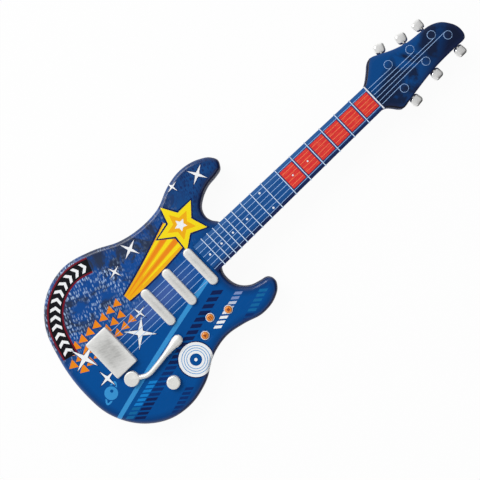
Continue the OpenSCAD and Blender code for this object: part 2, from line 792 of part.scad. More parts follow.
// Effect button, held by a flange under the front
module effect_button(i) {
    c = effect_places[i - 1];
    color("orangered")
    translate([c.x, c.y, 0]) {
        translate([0, 0, effect_flange_z])
            cylinder(r = effect_r + 1.4, h = 1.6);
        translate([0, 0, effect_flange_z + 1])
            rotate_extrude()
                difference() {
                    union() {
                        square([effect_r - 1.2, front_z + effect_h - effect_flange_z - 1]);
                        square([effect_r, front_z + effect_h - effect_flange_z - 2.2]);
                        translate([effect_r - 1.2, front_z + effect_h - effect_flange_z - 2.2])
                            circle(r = 1.2);
                    }
                    translate([-2, -1])
                        square([2, 20]);
                }
    }
}
module effect_button_1() { effect_button(1); }
module effect_button_2() { effect_button(2); }
module effect_button_3() { effect_button(3); }

module effect_bezels() {
    color("white")
    for (c = effect_places)
        difference() {
            union() {
                post_at(c, bezel_r, front_z, front_z + 1.6);
                post_at(c, bezel_r - 0.6 - run_gap, under_z, front_z + 1);
            }
            post_at(c, effect_r + run_gap, under_z - 1, front_z + 3);
        }
}

module effect_pad() {
    color("gainsboro") {
        block([-27, -71, pcb_z], [32, -48.5, pcb_z + 0.8]);
        for (c = effect_places)
            translate([c.x, c.y, pcb_z + 0.7])
                cylinder(r1 = 5, r2 = 3.6, h = effect_flange_z - pcb_z - 0.7);
    }
}

module main_board() {
    color("darkgreen")
    difference() {
        block([pcb_x[0], pcb_y[0], pcb_z - pcb_t], [pcb_x[1], pcb_y[1], pcb_z]);
        for (c = pcb_posts)
            post_at(c, screw_r + seat_gap, pcb_z - pcb_t - 1, pcb_z + 1);
    }
}

module board_chips() {
    chip_z = pcb_z - pcb_t;
    color("black") {
        block([-12, -64, chip_z - 2.2], [4, -52, chip_z]);
        block([14, -62, chip_z - 1.8], [23, -54, chip_z]);
        for (x = [-26, -20])
            post_at([x, -66], 2.6, chip_z - 7, chip_z);
    }
}

module board_screws() {
    color("silver")
    for (c = pcb_posts)
        screw(c, pcb_z - pcb_t, 5.5);
}

module speaker_frame() {
    color("dimgray")
    translate([speaker_x, speaker_y, wall + grille_t])
        rotate_extrude()
            polygon([[speaker_r - 3, 0], [speaker_r, 0], [speaker_r, 1.6], [speaker_r - 2.5, 1.6],
                [13, 11], [6, 11], [6, 9.6], [12.4, 9.6], [speaker_r - 3, 1.4]]);
}

module speaker_cone() {
    color("black")
    translate([speaker_x, speaker_y, wall + grille_t])
        rotate_extrude()
            polygon([[0, 4.2], [5, 5.6], [speaker_r - 4.6, 0.6], [speaker_r - 3.3, 0.6],
                [speaker_r - 3.3, 1.2], [speaker_r - 4.4, 1.2], [5.6, 6.4], [5.6, 9], [4.8, 9], [4.8, 6.4], [0, 5]]);
}

module speaker_magnet() {
    color("silver")
    post_at([speaker_x, speaker_y], 14, wall + grille_t + 11, wall + grille_t + 18);
}

module speaker_grille() {
    color("midnightblue")
    difference() {
        union() {
            post_at([speaker_x, speaker_y], grille_r, 0.3, wall + 0.5);
            post_at([speaker_x, speaker_y], grille_r + 2, wall, wall + grille_t);
        }
        post_at([speaker_x, speaker_y], speaker_r - 3.2, 2, wall + grille_t + 1);
        post_at([speaker_x, speaker_y], 1.4, -1, 5);
        for (n = [1 : 4])
            for (k = [1 : 6 * n])
                rotate_about([speaker_x, speaker_y], 60 * k / n)
                    post_at([speaker_x + 5.8 * n, speaker_y], 1.4, -1, 5);
    }
}
module rotate_about(c, a) {
    translate([c.x, c.y, 0])
        rotate(a)
            translate([-c.x, -c.y, 0])
                children();
}

cell_places = [for (k = [-1 : 1]) k * (2 * cell_r + cell_gap)];
module batteries() {
    nub_l = 1.2;
    x0 = bay_x - bay_l / 2 + contact_t + spring_l;
    color("goldenrod")
    for (y = cell_places)
        translate([x0, y, cell_z])
            rotate([0, 90, 0]) {
                cylinder(r = cell_r, h = cell_l - nub_l);
                cylinder(r = 2.6, h = cell_l);
            }
}

module battery_contacts() {
    color("silver") {
        for (s = [-1, 1])
            translate([bay_x + s * (bay_l - contact_t) / 2, 0, cell_z])
                cube([contact_t, bay_w - 3, 11], center = true);
        for (y = cell_places)
            translate([bay_x - bay_l / 2 + contact_t - 0.1, y, cell_z])
                rotate([0, 90, 0])
                    cylinder(r1 = 4.4, r2 = 3, h = spring_l + 0.1);
    }
}

module battery_door() {
    color("mediumblue")
    difference() {
        union() {
            block([bay_x - bay_l / 2 - door_lip, -bay_w / 2 - door_lip, door_z],
                [bay_x + bay_l / 2 + door_lip, bay_w / 2 + door_lip, door_z + door_t]);
            post_at([ear_x, 0], ear_r, door_z, door_z + ear_t);
            block([ear_x - 3.5, -ear_r, door_z], [ear_x, ear_r, door_z + door_t]);
        }
        post_at([ear_x, 0], head_r + 0.2, -1, door_z + 2.4);
        post_at([ear_x, 0], screw_r + seat_gap, -1, 8);
        for (k = [0 : 4])
            block([bay_x - 25 + k * 4, -14, -1], [bay_x - 23.4 + k * 4, 14, door_z + 0.5]);
    }
}

module door_screw() {
    color("silver")
    screw([ear_x, 0], door_z + 2.4, 8);
}

module power_switch() {
    x = switch_x - switch_travel / 2;
    color("black") {
        block([x - nub_l / 2, switch_y - nub_w / 2, 0.4], [x + nub_l / 2, switch_y + nub_w / 2, wall + 0.4]);
        block([x - 5.8, switch_y - 3, wall + 0.1], [x + 5.8, switch_y + 3, wall + 1.1]);
        block([x - 1, switch_y - 1, wall + 1], [x + 1, switch_y + 1, wall + 3]);
    }
}

module switch_body() {
    color("silver")
    difference() {
        block([switch_x - 10, switch_y - 4.5, wall + 1.2], [switch_x + 10, switch_y + 4.5, wall + 7]);
        block([switch_x - 3.6, switch_y - 1.2, wall], [switch_x + 3.6, switch_y + 1.2, wall + 3.4]);
    }
}

module aux_jack() {
    color("black")
    difference() {
        union() {
            translate([jack_x - 0.8, jack_y, jack_z])
                rotate([0, 90, 0])
                    cylinder(r = 3.9, h = 8);
            block([jack_x + wall + 0.6, jack_y - 5, jack_z - 5], [jack_x + jack_l, jack_y + 5, jack_z + 5]);
        }
        translate([jack_x - 2, jack_y, jack_z])
            rotate([0, 90, 0])
                cylinder(r = jack_r, h = jack_l);
    }
}

module case_screws() {
    color("silver")
    for (c = case_places)
        screw(c, well_z, 22);
}

module neck_screws() {
    color("silver")
    for (c = neck_places)
        screw(c, well_z, neck_seam - 3 - well_z);
}

// Leads from the neck, the loudspeaker, the batteries and the audio socket to the main board
module inner_leads() {
    end_z = pcb_z - pcb_t - 1.5;
    hole_x = neck_x0 + 5;
    color("firebrick") {
        lead([[key_x0 + 2, 0, neck_seam + pcb_t + 1.5], [key_x0 - 30, 0, neck_seam + 2.6],
            [hole_x + 20, 0, neck_seam + 2.6], [hole_x + 8, 0, neck_seam + 2.2], [hole_x + 1, 0, neck_seam - 1],
            [hole_x, 0, neck_seam - 6], [hole_x - 1, 0, heel_z], [hole_x - 6, 0, heel_z - 2.4],
            [neck_x0 - 13, -8, heel_z - 2.6], [neck_x0 - 14, -22, heel_z - 2.6], [31, -36, heel_z - 1],
            [29, -47 * side, end_z]], 1.2);
        lead([[speaker_x + 24, speaker_y - 20, wall + grille_t + 7], [speaker_x + 29, speaker_y - 38, 14],
            [speaker_x + 38, speaker_y - 56, 18], [-56, -47, 23], [-40, -55 * side, end_z - 0.6],
            [-32, -56 * side, end_z]], 1.2);
        lead([[-26, -bay_w / 2 - bay_wall - 1.3, 13], [-22, -32, 18], [-14, -42, 24],
            [-9, -47 * side, end_z]], 1.2);
        lead([[jack_x + jack_l + 1.3, jack_y, jack_z], [-140, -30, 12], [-112, -60, 16], [-62, -64, 22],
            [-42, -61 * side, end_z - 0.8], [-32, -60 * side, end_z]], 1.2);
    }
}

// Tuner: button, stem, collar and shaft in one piece
module tuner_peg(i) {
    reach = tuners[i - 1][2];
    color("gainsboro")
    tuner_place(i) {
        translate([0, 0, 3])
            cylinder(r = peg_r, h = reach - 4);
        translate([0, 0, collar_at(i)])
            cylinder(r = collar_r, h = 2);
        translate([0, 0, reach])
            rotate([90, 0, 90])
                pillow(round_rect(peg_w, peg_l, 4, 4), peg_t, peg_roll, 3);
    }
}
module tuner_peg_1() { tuner_peg(1); }
module tuner_peg_2() { tuner_peg(2); }
module tuner_peg_3() { tuner_peg(3); }
module tuner_peg_4() { tuner_peg(4); }
module tuner_peg_5() { tuner_peg(5); }
module tuner_peg_6() { tuner_peg(6); }

body_front();
body_back();
neck_front();
neck_back();
frets();
nut();
position_dots();
strings();
fret_button_1();
fret_button_2();
fret_button_3();
fret_button_4();
fret_button_5();
fret_button_6();
fret_pad();
neck_board();
pickup_neck();
pickup_middle();
pickup_bridge();
bridge();
whammy_bar();
whammy_screw();
volume_knob();
volume_pot();
pot_nut();
effect_button_1();
effect_button_2();
effect_button_3();
effect_bezels();
effect_pad();
main_board();
board_chips();
board_screws();
speaker_frame();
speaker_cone();
speaker_magnet();
speaker_grille();
batteries();
battery_contacts();
battery_door();
door_screw();
power_switch();
switch_body();
aux_jack();
case_screws();
neck_screws();
inner_leads();
tuner_peg_1();
tuner_peg_2();
tuner_peg_3();
tuner_peg_4();
tuner_peg_5();
tuner_peg_6();
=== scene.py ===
# %% [markdown]
# # A toy electric guitar, dressed in cells
# The imported CAD model is the frame: every piece is at its real size and place already. This lesson adds
# what the eye sees: the printed film on the front, smooth shells, silver bars, round tuner buttons and the
# plastics' finishes. We begin with the frame and keep its box.

# %% Load the frame
import json
import math

import bmesh
import bpy
import numpy as np
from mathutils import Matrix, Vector
from mathutils.geometry import delaunay_2d_cdt

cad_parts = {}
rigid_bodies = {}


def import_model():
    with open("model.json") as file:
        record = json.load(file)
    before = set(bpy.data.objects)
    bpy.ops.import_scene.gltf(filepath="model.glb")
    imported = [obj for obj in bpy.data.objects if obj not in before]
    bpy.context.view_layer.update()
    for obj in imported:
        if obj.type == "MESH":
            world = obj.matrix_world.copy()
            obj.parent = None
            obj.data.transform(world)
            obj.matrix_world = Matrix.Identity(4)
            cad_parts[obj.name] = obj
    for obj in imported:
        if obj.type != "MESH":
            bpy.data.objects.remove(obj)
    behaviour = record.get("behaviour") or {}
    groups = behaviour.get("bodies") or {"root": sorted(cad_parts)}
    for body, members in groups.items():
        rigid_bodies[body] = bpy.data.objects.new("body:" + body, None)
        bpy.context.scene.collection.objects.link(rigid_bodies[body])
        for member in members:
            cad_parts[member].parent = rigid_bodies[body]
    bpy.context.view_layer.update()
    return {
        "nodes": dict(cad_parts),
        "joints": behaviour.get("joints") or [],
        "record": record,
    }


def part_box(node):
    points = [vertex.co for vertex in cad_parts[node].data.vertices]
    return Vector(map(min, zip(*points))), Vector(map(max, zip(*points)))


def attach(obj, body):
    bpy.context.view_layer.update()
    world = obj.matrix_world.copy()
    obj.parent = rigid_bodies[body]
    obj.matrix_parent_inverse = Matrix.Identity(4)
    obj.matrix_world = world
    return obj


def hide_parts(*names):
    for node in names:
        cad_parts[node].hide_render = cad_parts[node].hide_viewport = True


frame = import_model()
NODES = frame["nodes"]
MM = 0.001

# %% [markdown]
# ## The camera
# The guitar lies on its back and is seen from straight above, with the neck slanting up to the right. A
# camera could be aimed by a constraint, but one that looks down needs no tilt at all, only a turn about the
# upright axis, so a single angle gives the slant. From just under a metre, walls that face the middle of
# the picture show as thin dark bands, as they do to someone who stands over the guitar.

# %% Place the camera
VIEW_MIDDLE = Vector((0.0909, -0.0121, 0.040))
NECK_SLANT = math.radians(43.74)
FRAME_WIDTH = 0.574
CAMERA_RISE = 0.9
SENSOR = 36.0


def link(piece):
    """Put an object into the scene."""
    bpy.context.scene.collection.objects.link(piece)


lens = bpy.data.cameras.new("photo_lens")
lens.sensor_width = SENSOR
lens.lens = SENSOR * CAMERA_RISE / FRAME_WIDTH
camera = bpy.data.objects.new("photo_camera", lens)
camera.location = VIEW_MIDDLE + Vector((0, 0, CAMERA_RISE))
camera.rotation_euler = (0, 0, -NECK_SLANT)
link(camera)
bpy.context.scene.camera = camera
bpy.context.scene.view_settings.view_transform = "Standard"
print("lens: %.1f mm" % lens.lens)

# %% [markdown]
# ## Wiring helpers
# A finish in Blender is a graph of nodes. It could be wired one link at a time, but that hides what the
# graph means. Two small helpers keep it readable: one adds a node and sets or links its inputs by name,
# where an underscore stands for a space, and one fills a single socket with a link or a plain value.

# %% Wiring helpers
def add(tree, kind, settings=None, **inputs):
    """Add a node, set its properties, and set or link its inputs by name."""
    node = tree.nodes.new(kind)
    for name, value in (settings or {}).items():
        setattr(node, name, value)
    for name, value in inputs.items():
        plug(tree, node.inputs[name.replace("_", " ")], value)
    return node


def plug(tree, socket, value):
    """Link a socket to another one, or set it to a plain value."""
    if isinstance(value, bpy.types.NodeSocket):
        tree.links.new(value, socket)
    else:
        socket.default_value = value


print("two helpers: add a node, plug a socket")

# %% [markdown]
# ## Sums and colours
# Masks and paints are worked out by nodes too: a sum, a stretched range, two colours mixed by a share. Each
# node could be added where it is needed, with its sockets looked up by number. These helpers hide the
# numbers, so a finish reads like plain sums. Colours are written as a paint program gives them, because
# those are easy to compare with a picture.

# %% Sums and colours
# A Mix node has a set of sockets for each kind of data. These are the numbers of its colour sockets.
MIX_FIRST, MIX_SECOND, MIX_RESULT = 6, 7, 2


def calc(tree, operation, a, b=0.0):
    """One sum of a Math node."""
    node = add(tree, "ShaderNodeMath", {"operation": operation})
    plug(tree, node.inputs[0], a)
    plug(tree, node.inputs[1], b)
    return node.outputs[0]


def times(tree, value, *others):
    """A value multiplied by others in turn."""
    for other in others:
        value = calc(tree, "MULTIPLY", value, other)
    return value


def vector_calc(tree, operation, a, b=(0, 0, 0)):
    """The outputs of a Vector Math node."""
    node = add(tree, "ShaderNodeVectorMath", {"operation": operation}, Vector=a)
    node.inputs[1].default_value = b
    return node.outputs


def split(tree, vector):
    """A vector's X, Y and Z."""
    return add(tree, "ShaderNodeSeparateXYZ", Vector=vector).outputs


def tint(tree, share, a, b):
    """Colour a, going over to colour b by share."""
    node = add(tree, "ShaderNodeMix", {"data_type": "RGBA"})
    plug(tree, node.inputs[0], share)
    plug(tree, node.inputs[MIX_FIRST], a)
    plug(tree, node.inputs[MIX_SECOND], b)
    return node.outputs[MIX_RESULT]


def spread(tree, value, low, high, to_low=0.0, to_high=1.0):
    """Stretch a value's range from low..high to another range, with its ends held."""
    return add(tree, "ShaderNodeMapRange", Value=value, From_Min=low, From_Max=high, To_Min=to_low,
               To_Max=to_high).outputs[0]


def rgb(red, green, blue):
    """A colour as a paint program gives it, 0 to 255, turned into the linear light that shaders use."""
    part = [c / 255 for c in (red, green, blue)]
    return tuple(c / 12.92 if c <= 0.04045 else ((c + 0.055) / 1.055) ** 2.4 for c in part) + (1.0,)


print("mid grey in linear light:", [round(c, 3) for c in rgb(128, 128, 128)])

# %% [markdown]
# ## The floor
# A product picture has a white sweep under the object. A floor that only glows would lose the guitar's
# shadow, and one that only takes light would turn grey. So this one is a pale matt surface that mostly
# shines white for the camera and for reflections, and still darkens softly under the guitar. From below it
# is clear, so that the guitar's back can be looked at too.

# %% The floor
FLOOR_REACH = 4
FLOOR_DROP = 0.0002
FLOOR_SHINE = 0.95
FLOOR_MATT = (0.86, 0.86, 0.86, 1)
WHITE = (1, 1, 1, 1)


def empty_graph(owner):
    """The node graph of a material or a world, with nothing in it."""
    owner.use_nodes = True
    owner.node_tree.nodes.clear()
    return owner.node_tree


def white_for_eye(tree):
    """1 for rays from the camera, a reflection or a clear piece, and 0 for light that falls on things."""
    path = add(tree, "ShaderNodeLightPath").outputs
    seen = calc(tree, "MAXIMUM", path["Is Camera Ray"], path["Is Glossy Ray"])
    return calc(tree, "MAXIMUM", seen, path["Is Transmission Ray"])


def mix_shaders(tree, share, first, second):
    """Two shaders mixed by share."""
    mixed = tree.nodes.new("ShaderNodeMixShader")
    plug(tree, mixed.inputs[0], share)
    tree.links.new(first.outputs[0], mixed.inputs[1])
    tree.links.new(second.outputs[0], mixed.inputs[2])
    return mixed


def floor_finish():
    """Matt for light, shining for the eye, and clear from below."""
    material = bpy.data.materials.new("pale_floor")
    tree = empty_graph(material)
    matt = add(tree, "ShaderNodeBsdfDiffuse", Color=FLOOR_MATT)
    shine = add(tree, "ShaderNodeEmission", Color=WHITE, Strength=1.0)
    lit = mix_shaders(tree, times(tree, white_for_eye(tree), FLOOR_SHINE), matt, shine)
    below = add(tree, "ShaderNodeNewGeometry").outputs["Backfacing"]
    shown = mix_shaders(tree, below, lit, add(tree, "ShaderNodeBsdfTransparent"))
    add(tree, "ShaderNodeOutputMaterial", Surface=shown.outputs[0])
    return material


floor_mesh = bpy.data.meshes.new("floor_sheet")
floor_corners = [(x * FLOOR_REACH, y * FLOOR_REACH, 0) for x, y in ((-1, -1), (1, -1), (1, 1), (-1, 1))]
floor_mesh.from_pydata(floor_corners, [], [(0, 1, 2, 3)])
floor_mesh.materials.append(floor_finish())
floor = bpy.data.objects.new("floor_sheet", floor_mesh)
floor.location.z = -FLOOR_DROP
link(floor)
print("floor:", 2 * FLOOR_REACH, "m wide")

# %% [markdown]
# ## Sky and lamps
# Soft light could come from many lamps. Here one large lamp stands on the bass side, which is the upper
# left of the picture, a weak one fills the treble side, and the sky gives the rest. The sky is bright at
# the horizon, dim overhead and dark on the far right, so the glossy front stays deep blue and silver edges
# get a dark side.

# %% Sky and lamps
PICTURE_RIGHT = (math.cos(NECK_SLANT), -math.sin(NECK_SLANT), 0)
# A range for spread is where a change starts and ends, and the values there if they aren't 0 and 1.
SKY_BY_HEIGHT = (0.1, 0.9, 1.0, 0.55)
SKY_BY_SIDE = (0.1, 0.55, 1.0, 0.06)
LAMP_AIM = Vector((0.09, 0.0, 0.0))


def sky():
    """A white backdrop for the camera, and a sky with a dark side for everything else."""
    world = bpy.data.worlds.new("studio_sky")
    tree = empty_graph(world)
    way = add(tree, "ShaderNodeTexCoord").outputs["Generated"]
    height = split(tree, way)["Z"]
    rightward = vector_calc(tree, "DOT_PRODUCT", way, PICTURE_RIGHT)["Value"]
    dim = times(tree, spread(tree, height, *SKY_BY_HEIGHT), spread(tree, rightward, *SKY_BY_SIDE))
    plain = add(tree, "ShaderNodeLightPath").outputs["Is Camera Ray"]
    soft = add(tree, "ShaderNodeBackground", Color=WHITE, Strength=dim)
    white = add(tree, "ShaderNodeBackground", Color=WHITE, Strength=1.0)
    add(tree, "ShaderNodeOutputWorld", Surface=mix_shaders(tree, plain, soft, white).outputs[0])
    return world


def soft_lamp(name, place, width, watts):
    """A square lamp that faces the guitar."""
    light = bpy.data.lights.new(name, "AREA")
    light.size = width
    light.energy = watts
    lamp = bpy.data.objects.new(name, light)
    lamp.location = place
    lamp.rotation_euler = (LAMP_AIM - Vector(place)).to_track_quat("-Z", "Y").to_euler()
    link(lamp)


bpy.context.scene.world = sky()
soft_lamp("bass_side_lamp", (-0.1, 1.2, 1.5), width=1.1, watts=20)
soft_lamp("treble_side_lamp", (0.3, -1.6, 1.5), width=1.4, watts=4)
print("lamps:", len(bpy.data.lights))

# %% [markdown]
# ## Shared surface effects
# Moulded plastic is never one flat colour. It has a fine grain from the tool, tones that drift over a
# hand's width, and thin scuffs from play, and silver paint shows the way it was wiped. Each finish could
# repeat these nodes. Instead each effect is a node group with named inputs, built once and placed in many
# finishes with other values. Groups give out only masks, values and colours; the shader itself stays in
# each material.

# %% Helpers for node groups
FLOAT, COLOUR = "NodeSocketFloat", "NodeSocketColor"


def place_on(tree):
    """A point's place on the guitar, in metres."""
    return add(tree, "ShaderNodeTexCoord").outputs["Object"]


def noise(tree, place, scale, **more):
    """Cloudy values about 0.5. scale is in clouds to the metre."""
    return add(tree, "ShaderNodeTexNoise", Vector=place, Scale=scale, **more).outputs[0]


def new_group(name, inputs, outputs):
    """An empty node group with its sockets, and the nodes that carry them."""
    group = bpy.data.node_groups.new(name, "ShaderNodeTree")
    for label, kind, value in inputs:
        socket = group.interface.new_socket(label, in_out="INPUT", socket_type=kind)
        socket.default_value = value
    for label, kind in outputs:
        group.interface.new_socket(label, in_out="OUTPUT", socket_type=kind)
    return group, group.nodes.new("NodeGroupInput").outputs, group.nodes.new("NodeGroupOutput").inputs


def use(tree, group, **inputs):
    """Place a node group in a material and give its outputs."""
    return add(tree, "ShaderNodeGroup", {"node_tree": group}, **inputs).outputs


print("kinds of sockets:", FLOAT, COLOUR)

# %% [markdown]
# ## Grain and drifting tone
# The moulding tool leaves fine pits, and the plastic's tone is never quite even. Both could come from
# pictures, but noise in the object's own space needs no unwrapping and has no seams. Fine noise gives the
# pits, broad noise the duller patches, and a third noise moves a colour's lightness up and down.

# %% Grain and drifting tone
GREY = (0.5, 0.5, 0.5, 1)
PATCH_SCALE, PATCH_RANGE = 22.0, (0.3, 0.7)
TONE_SCALE, TONE_SWING = 16.0, 4.0


def moulded_grain():
    """Fine pits of the moulding tool, and broad patches that are a little duller."""
    group, given, out = new_group("moulded_grain", [("Fineness", FLOAT, 900.0)],
                                  [("Height", FLOAT), ("Patch", FLOAT)])
    place = place_on(group)
    plug(group, out["Height"], noise(group, place, given["Fineness"], Detail=3.0, Roughness=0.6))
    broad = noise(group, place, PATCH_SCALE, Detail=4.0, Roughness=0.65)
    plug(group, out["Patch"], spread(group, broad, *PATCH_RANGE))
    return group


def drifting_tone():
    """A colour whose lightness drifts over the surface."""
    group, given, out = new_group("drifting_tone", [("Colour", COLOUR, GREY), ("Amount", FLOAT, 0.1)],
                                  [("Colour", COLOUR)])
    cloud = noise(group, place_on(group), TONE_SCALE, Detail=5.0, Roughness=0.6)
    swing = times(group, calc(group, "SUBTRACT", cloud, 0.5), given["Amount"], TONE_SWING)
    value = calc(group, "ADD", swing, 1.0)
    toned = add(group, "ShaderNodeHueSaturation", Color=given["Colour"], Value=value)
    plug(group, out["Colour"], toned.outputs[0])
    return group


GRAIN, TONE = moulded_grain(), drifting_tone()
print("groups:", GRAIN.name, TONE.name)

# %% [markdown]
# ## Scuffs and streaks
# Play leaves short thin scratches, and wiped paint shows streaks. Each line could be drawn as a curve, but
# there are far too many. Noise that is much finer one way than the other gives thin lines by itself: a
# threshold keeps only the strongest of them as scuffs, and the streaks use all of it.

# %% Scuffs and streaks
WEAR_SCALE, WEAR_RANGE = 14.0, (0.5, 0.68)
# Scuffs run two ways. Each way has a turn and a stretch, and is finer across than along.
SCUFF_WAYS, SCUFF_FINER, SCUFF_LAYERS = ((0.5, 60.0), (2.3, 45.0)), 26, 40
SCUFF_RANGE = (0.68, 0.74)
STREAK_STRETCH, MOTTLE_SCALE = (120, 900, 300), 180.0


def light_scuffs():
    """A mask of short thin scratches in two directions, in patches."""
    group, given, out = new_group("light_scuffs", [("Amount", FLOAT, 0.5)], [("Mask", FLOAT)])
    place = place_on(group)
    zone = spread(group, noise(group, place, WEAR_SCALE, Detail=2.0), *WEAR_RANGE)
    lines = 0.0
    for turn, stretch in SCUFF_WAYS:
        laid = add(group, "ShaderNodeMapping", Vector=place, Rotation=(0, 0, turn),
                   Scale=(stretch, stretch * SCUFF_FINER, SCUFF_LAYERS)).outputs[0]
        thin = spread(group, noise(group, laid, 1.0, Detail=1.0), *SCUFF_RANGE)
        lines = calc(group, "MAXIMUM", lines, thin)
    plug(group, out["Mask"], times(group, lines, zone, given["Amount"]))
    return group


def brushed_tone():
    """Streaks that run one way, as in silver paint that was wiped or in drawn metal."""
    group, given, out = new_group(
        "brushed_tone", [("Colour", COLOUR, GREY), ("Amount", FLOAT, 0.2), ("Turn", FLOAT, 0.0)],
        [("Colour", COLOUR), ("Height", FLOAT)])
    place = place_on(group)
    turned = add(group, "ShaderNodeVectorRotate", {"rotation_type": "Z_AXIS"}, Vector=place,
                 Angle=given["Turn"]).outputs[0]
    laid = add(group, "ShaderNodeMapping", Vector=turned, Scale=STREAK_STRETCH).outputs[0]
    streak = noise(group, laid, 1.0, Detail=4.0)
    mottle = noise(group, place, MOTTLE_SCALE, Detail=4.0, Roughness=0.7)
    both = calc(group, "SUBTRACT", calc(group, "ADD", streak, mottle), 1.0)
    value = calc(group, "ADD", times(group, both, given["Amount"]), 1.0)
    toned = add(group, "ShaderNodeHueSaturation", Color=given["Colour"], Value=value)
    plug(group, out["Colour"], toned.outputs[0])
    plug(group, out["Height"], streak)
    return group


SCUFF, BRUSH = light_scuffs(), brushed_tone()
print("groups:", SCUFF.name, BRUSH.name)

# %% [markdown]
# ## The plastic recipe
# Nearly all of this guitar is moulded plastic. Every finish could be a graph of its own, but one recipe
# makes them alike where the real ones are alike: a drifting colour, scuffs that are paler and duller, a
# fine grain as a bump, and a roughness that wanders between two values. A finish that needs more, such as
# the printed blue, passes a function that paints its colour.

# %% The plastic recipe
GRAIN_DEPTH = 0.0002
SCUFF_DULLNESS, SCUFF_KEEP, SCUFF_WHITE = 0.2, 0.8, 0.08
COAT_ROUGHNESS = 0.13


def plastic(name, colour, dull=(0.3, 0.42), fineness=900.0, bump=0.12, drift=0.05, scuffs=0.25, specular=0.3,
            metallic=0.0, paint=None, polish=None):
    """A moulded plastic. paint makes the colour; polish gives a clear coat where the piece shines."""
    material = bpy.data.materials.new(name)
    material.use_nodes = True
    tree = material.node_tree
    shader = tree.nodes["Principled BSDF"].inputs
    base = paint(tree, colour) if paint else colour
    toned = use(tree, TONE, Colour=base, Amount=drift)["Colour"]
    grain = use(tree, GRAIN, Fineness=fineness)
    worn = use(tree, SCUFF, Amount=scuffs)["Mask"]
    pale = tuple(c * SCUFF_KEEP + SCUFF_WHITE for c in colour[:3]) + (1.0,)
    plug(tree, shader["Base Color"], tint(tree, worn, toned, pale))
    rough = spread(tree, grain["Patch"], 0.0, 1.0, *dull)
    plug(tree, shader["Roughness"], calc(tree, "ADD", rough, times(tree, worn, SCUFF_DULLNESS)))
    relief = add(tree, "ShaderNodeBump", Strength=bump, Distance=GRAIN_DEPTH, Height=grain["Height"])
    plug(tree, shader["Normal"], relief.outputs[0])
    plug(tree, shader["Metallic"], metallic(tree) if callable(metallic) else metallic)
    shader["Specular IOR Level"].default_value = specular
    shader["Coat Roughness"].default_value = COAT_ROUGHNESS
    if polish:
        plug(tree, shader["Coat Weight"], polish(tree))
    return material


SHELL = {}


def finish(name, colour, **how):
    """Keep a plastic under its own name."""
    SHELL[name] = plastic(name, rgb(*colour), **how)


finish("white_trim", (236, 240, 246), drift=0.02, scuffs=0.1)
finish("string_line", (158, 194, 240), drift=0.03, scuffs=0.1)
finish("key_line", (244, 122, 80), drift=0.03)
finish("orange_key", (234, 140, 46), dull=(0.14, 0.2), specular=0.6)
finish("mark_brown", (150, 66, 20), dull=(0.3, 0.4), drift=0.03)
finish("silicone", (214, 214, 206), dull=(0.6, 0.75), scuffs=0.0)
finish("circuit_board", (20, 96, 48), dull=(0.4, 0.55), fineness=300.0)
finish("black_plastic", (24, 24, 26), dull=(0.45, 0.6), bump=0.25)
finish("grille_plastic", (14, 26, 58), dull=(0.5, 0.62), bump=0.25)
finish("cell_wrap", (196, 150, 40), dull=(0.3, 0.4))
finish("lead_cover", (150, 30, 28), dull=(0.45, 0.55))
print("plain finishes:", len(SHELL))

# %% [markdown]
# ## Silver and red
# The silver pieces look like painted plastic, with a painted sheen that is pale along the rim and at both
# ends, and painted shade that is greyer towards the middle, where the mottle is stronger.
# The tuner buttons look plated, and the red buttons show orange streaks along the strings. Pictures could
# be wrapped round the pieces, but the brushed group and a stored distance from the rim do it from any side
# and at any size.

# %% Silver and red
# Painted shade: the grey for the middle of silver pieces. Painted sheen: the ranges by rim and by end.
SILVER_SHADE_GREY = rgb(188, 188, 186)
WIPE_TURN = 0.4
WIPE_AT_RIM, WIPE_AT_MIDDLE = 0.2, 0.75
SILVER_SHEEN_BY_RIM = (0.0008, 0.0085, 0.0, 0.9)
SILVER_SHEEN_BY_END = (0.024, 0.008, 0.3, 1.0)
PLATING_BY_RIM = (0.0014, 0.0026, 0.97, 0.55)
RED_STREAK = rgb(236, 90, 58)
STREAK_EDGE = (0.5, 0.7)


def rim_distance(tree):
    """How far a point is from the rim of its piece, where the piece stores it."""
    return add(tree, "ShaderNodeAttribute", {"attribute_name": "rim_distance"}).outputs["Fac"]


def brushed(amount, turn):
    """Paint for metal and plain silver: streaks over the colour."""
    def paint(tree, colour):
        return use(tree, BRUSH, Colour=colour, Amount=amount, Turn=turn)["Colour"]
    return paint


def silver(tree, colour):
    """Silver paint: painted sheen at the rim and both ends, painted shade and stronger mottle in the middle.
    """
    across = calc(tree, "ABSOLUTE", split(tree, place_on(tree))["Y"])
    inner = spread(tree, rim_distance(tree), *SILVER_SHEEN_BY_RIM)
    middle = times(tree, inner, spread(tree, across, *SILVER_SHEEN_BY_END))
    pale = brushed(WIPE_AT_RIM, WIPE_TURN)(tree, colour)
    # Painted sheen pale at the rim and ends, painted shade grey towards the middle.
    return tint(tree, middle, pale, brushed(WIPE_AT_MIDDLE, WIPE_TURN)(tree, SILVER_SHADE_GREY))


def bright_rim(tree):
    """Plating that is bright on the bevel and satin on the face."""
    return spread(tree, rim_distance(tree), *PLATING_BY_RIM)


def streaked_red(tree, colour):
    """Button red with orange streaks along the strings."""
    streak = use(tree, BRUSH, Colour=colour, Amount=0.0, Turn=0.0)["Height"]
    return tint(tree, spread(tree, streak, *STREAK_EDGE), colour, RED_STREAK)


finish("silver_plastic", (230, 230, 228), dull=(0.36, 0.48), metallic=0.25, paint=silver, scuffs=0.2)
finish("pale_plastic", (240, 240, 236), dull=(0.3, 0.4), metallic=0.4, paint=brushed(0.18, 1.1), scuffs=0.15)
finish("steel", (190, 190, 188), dull=(0.28, 0.4), metallic=1.0, paint=brushed(0.3, 0.0), scuffs=0.4)
finish("peg_silver", (248, 248, 247), dull=(0.1, 0.14), bump=0.01, metallic=bright_rim,
       paint=brushed(0.06, 0.6), scuffs=0.05)
finish("red_key", (220, 44, 46), dull=(0.26, 0.36), drift=0.06, paint=streaked_red)
print("silver and red:", list(SHELL)[-5:])
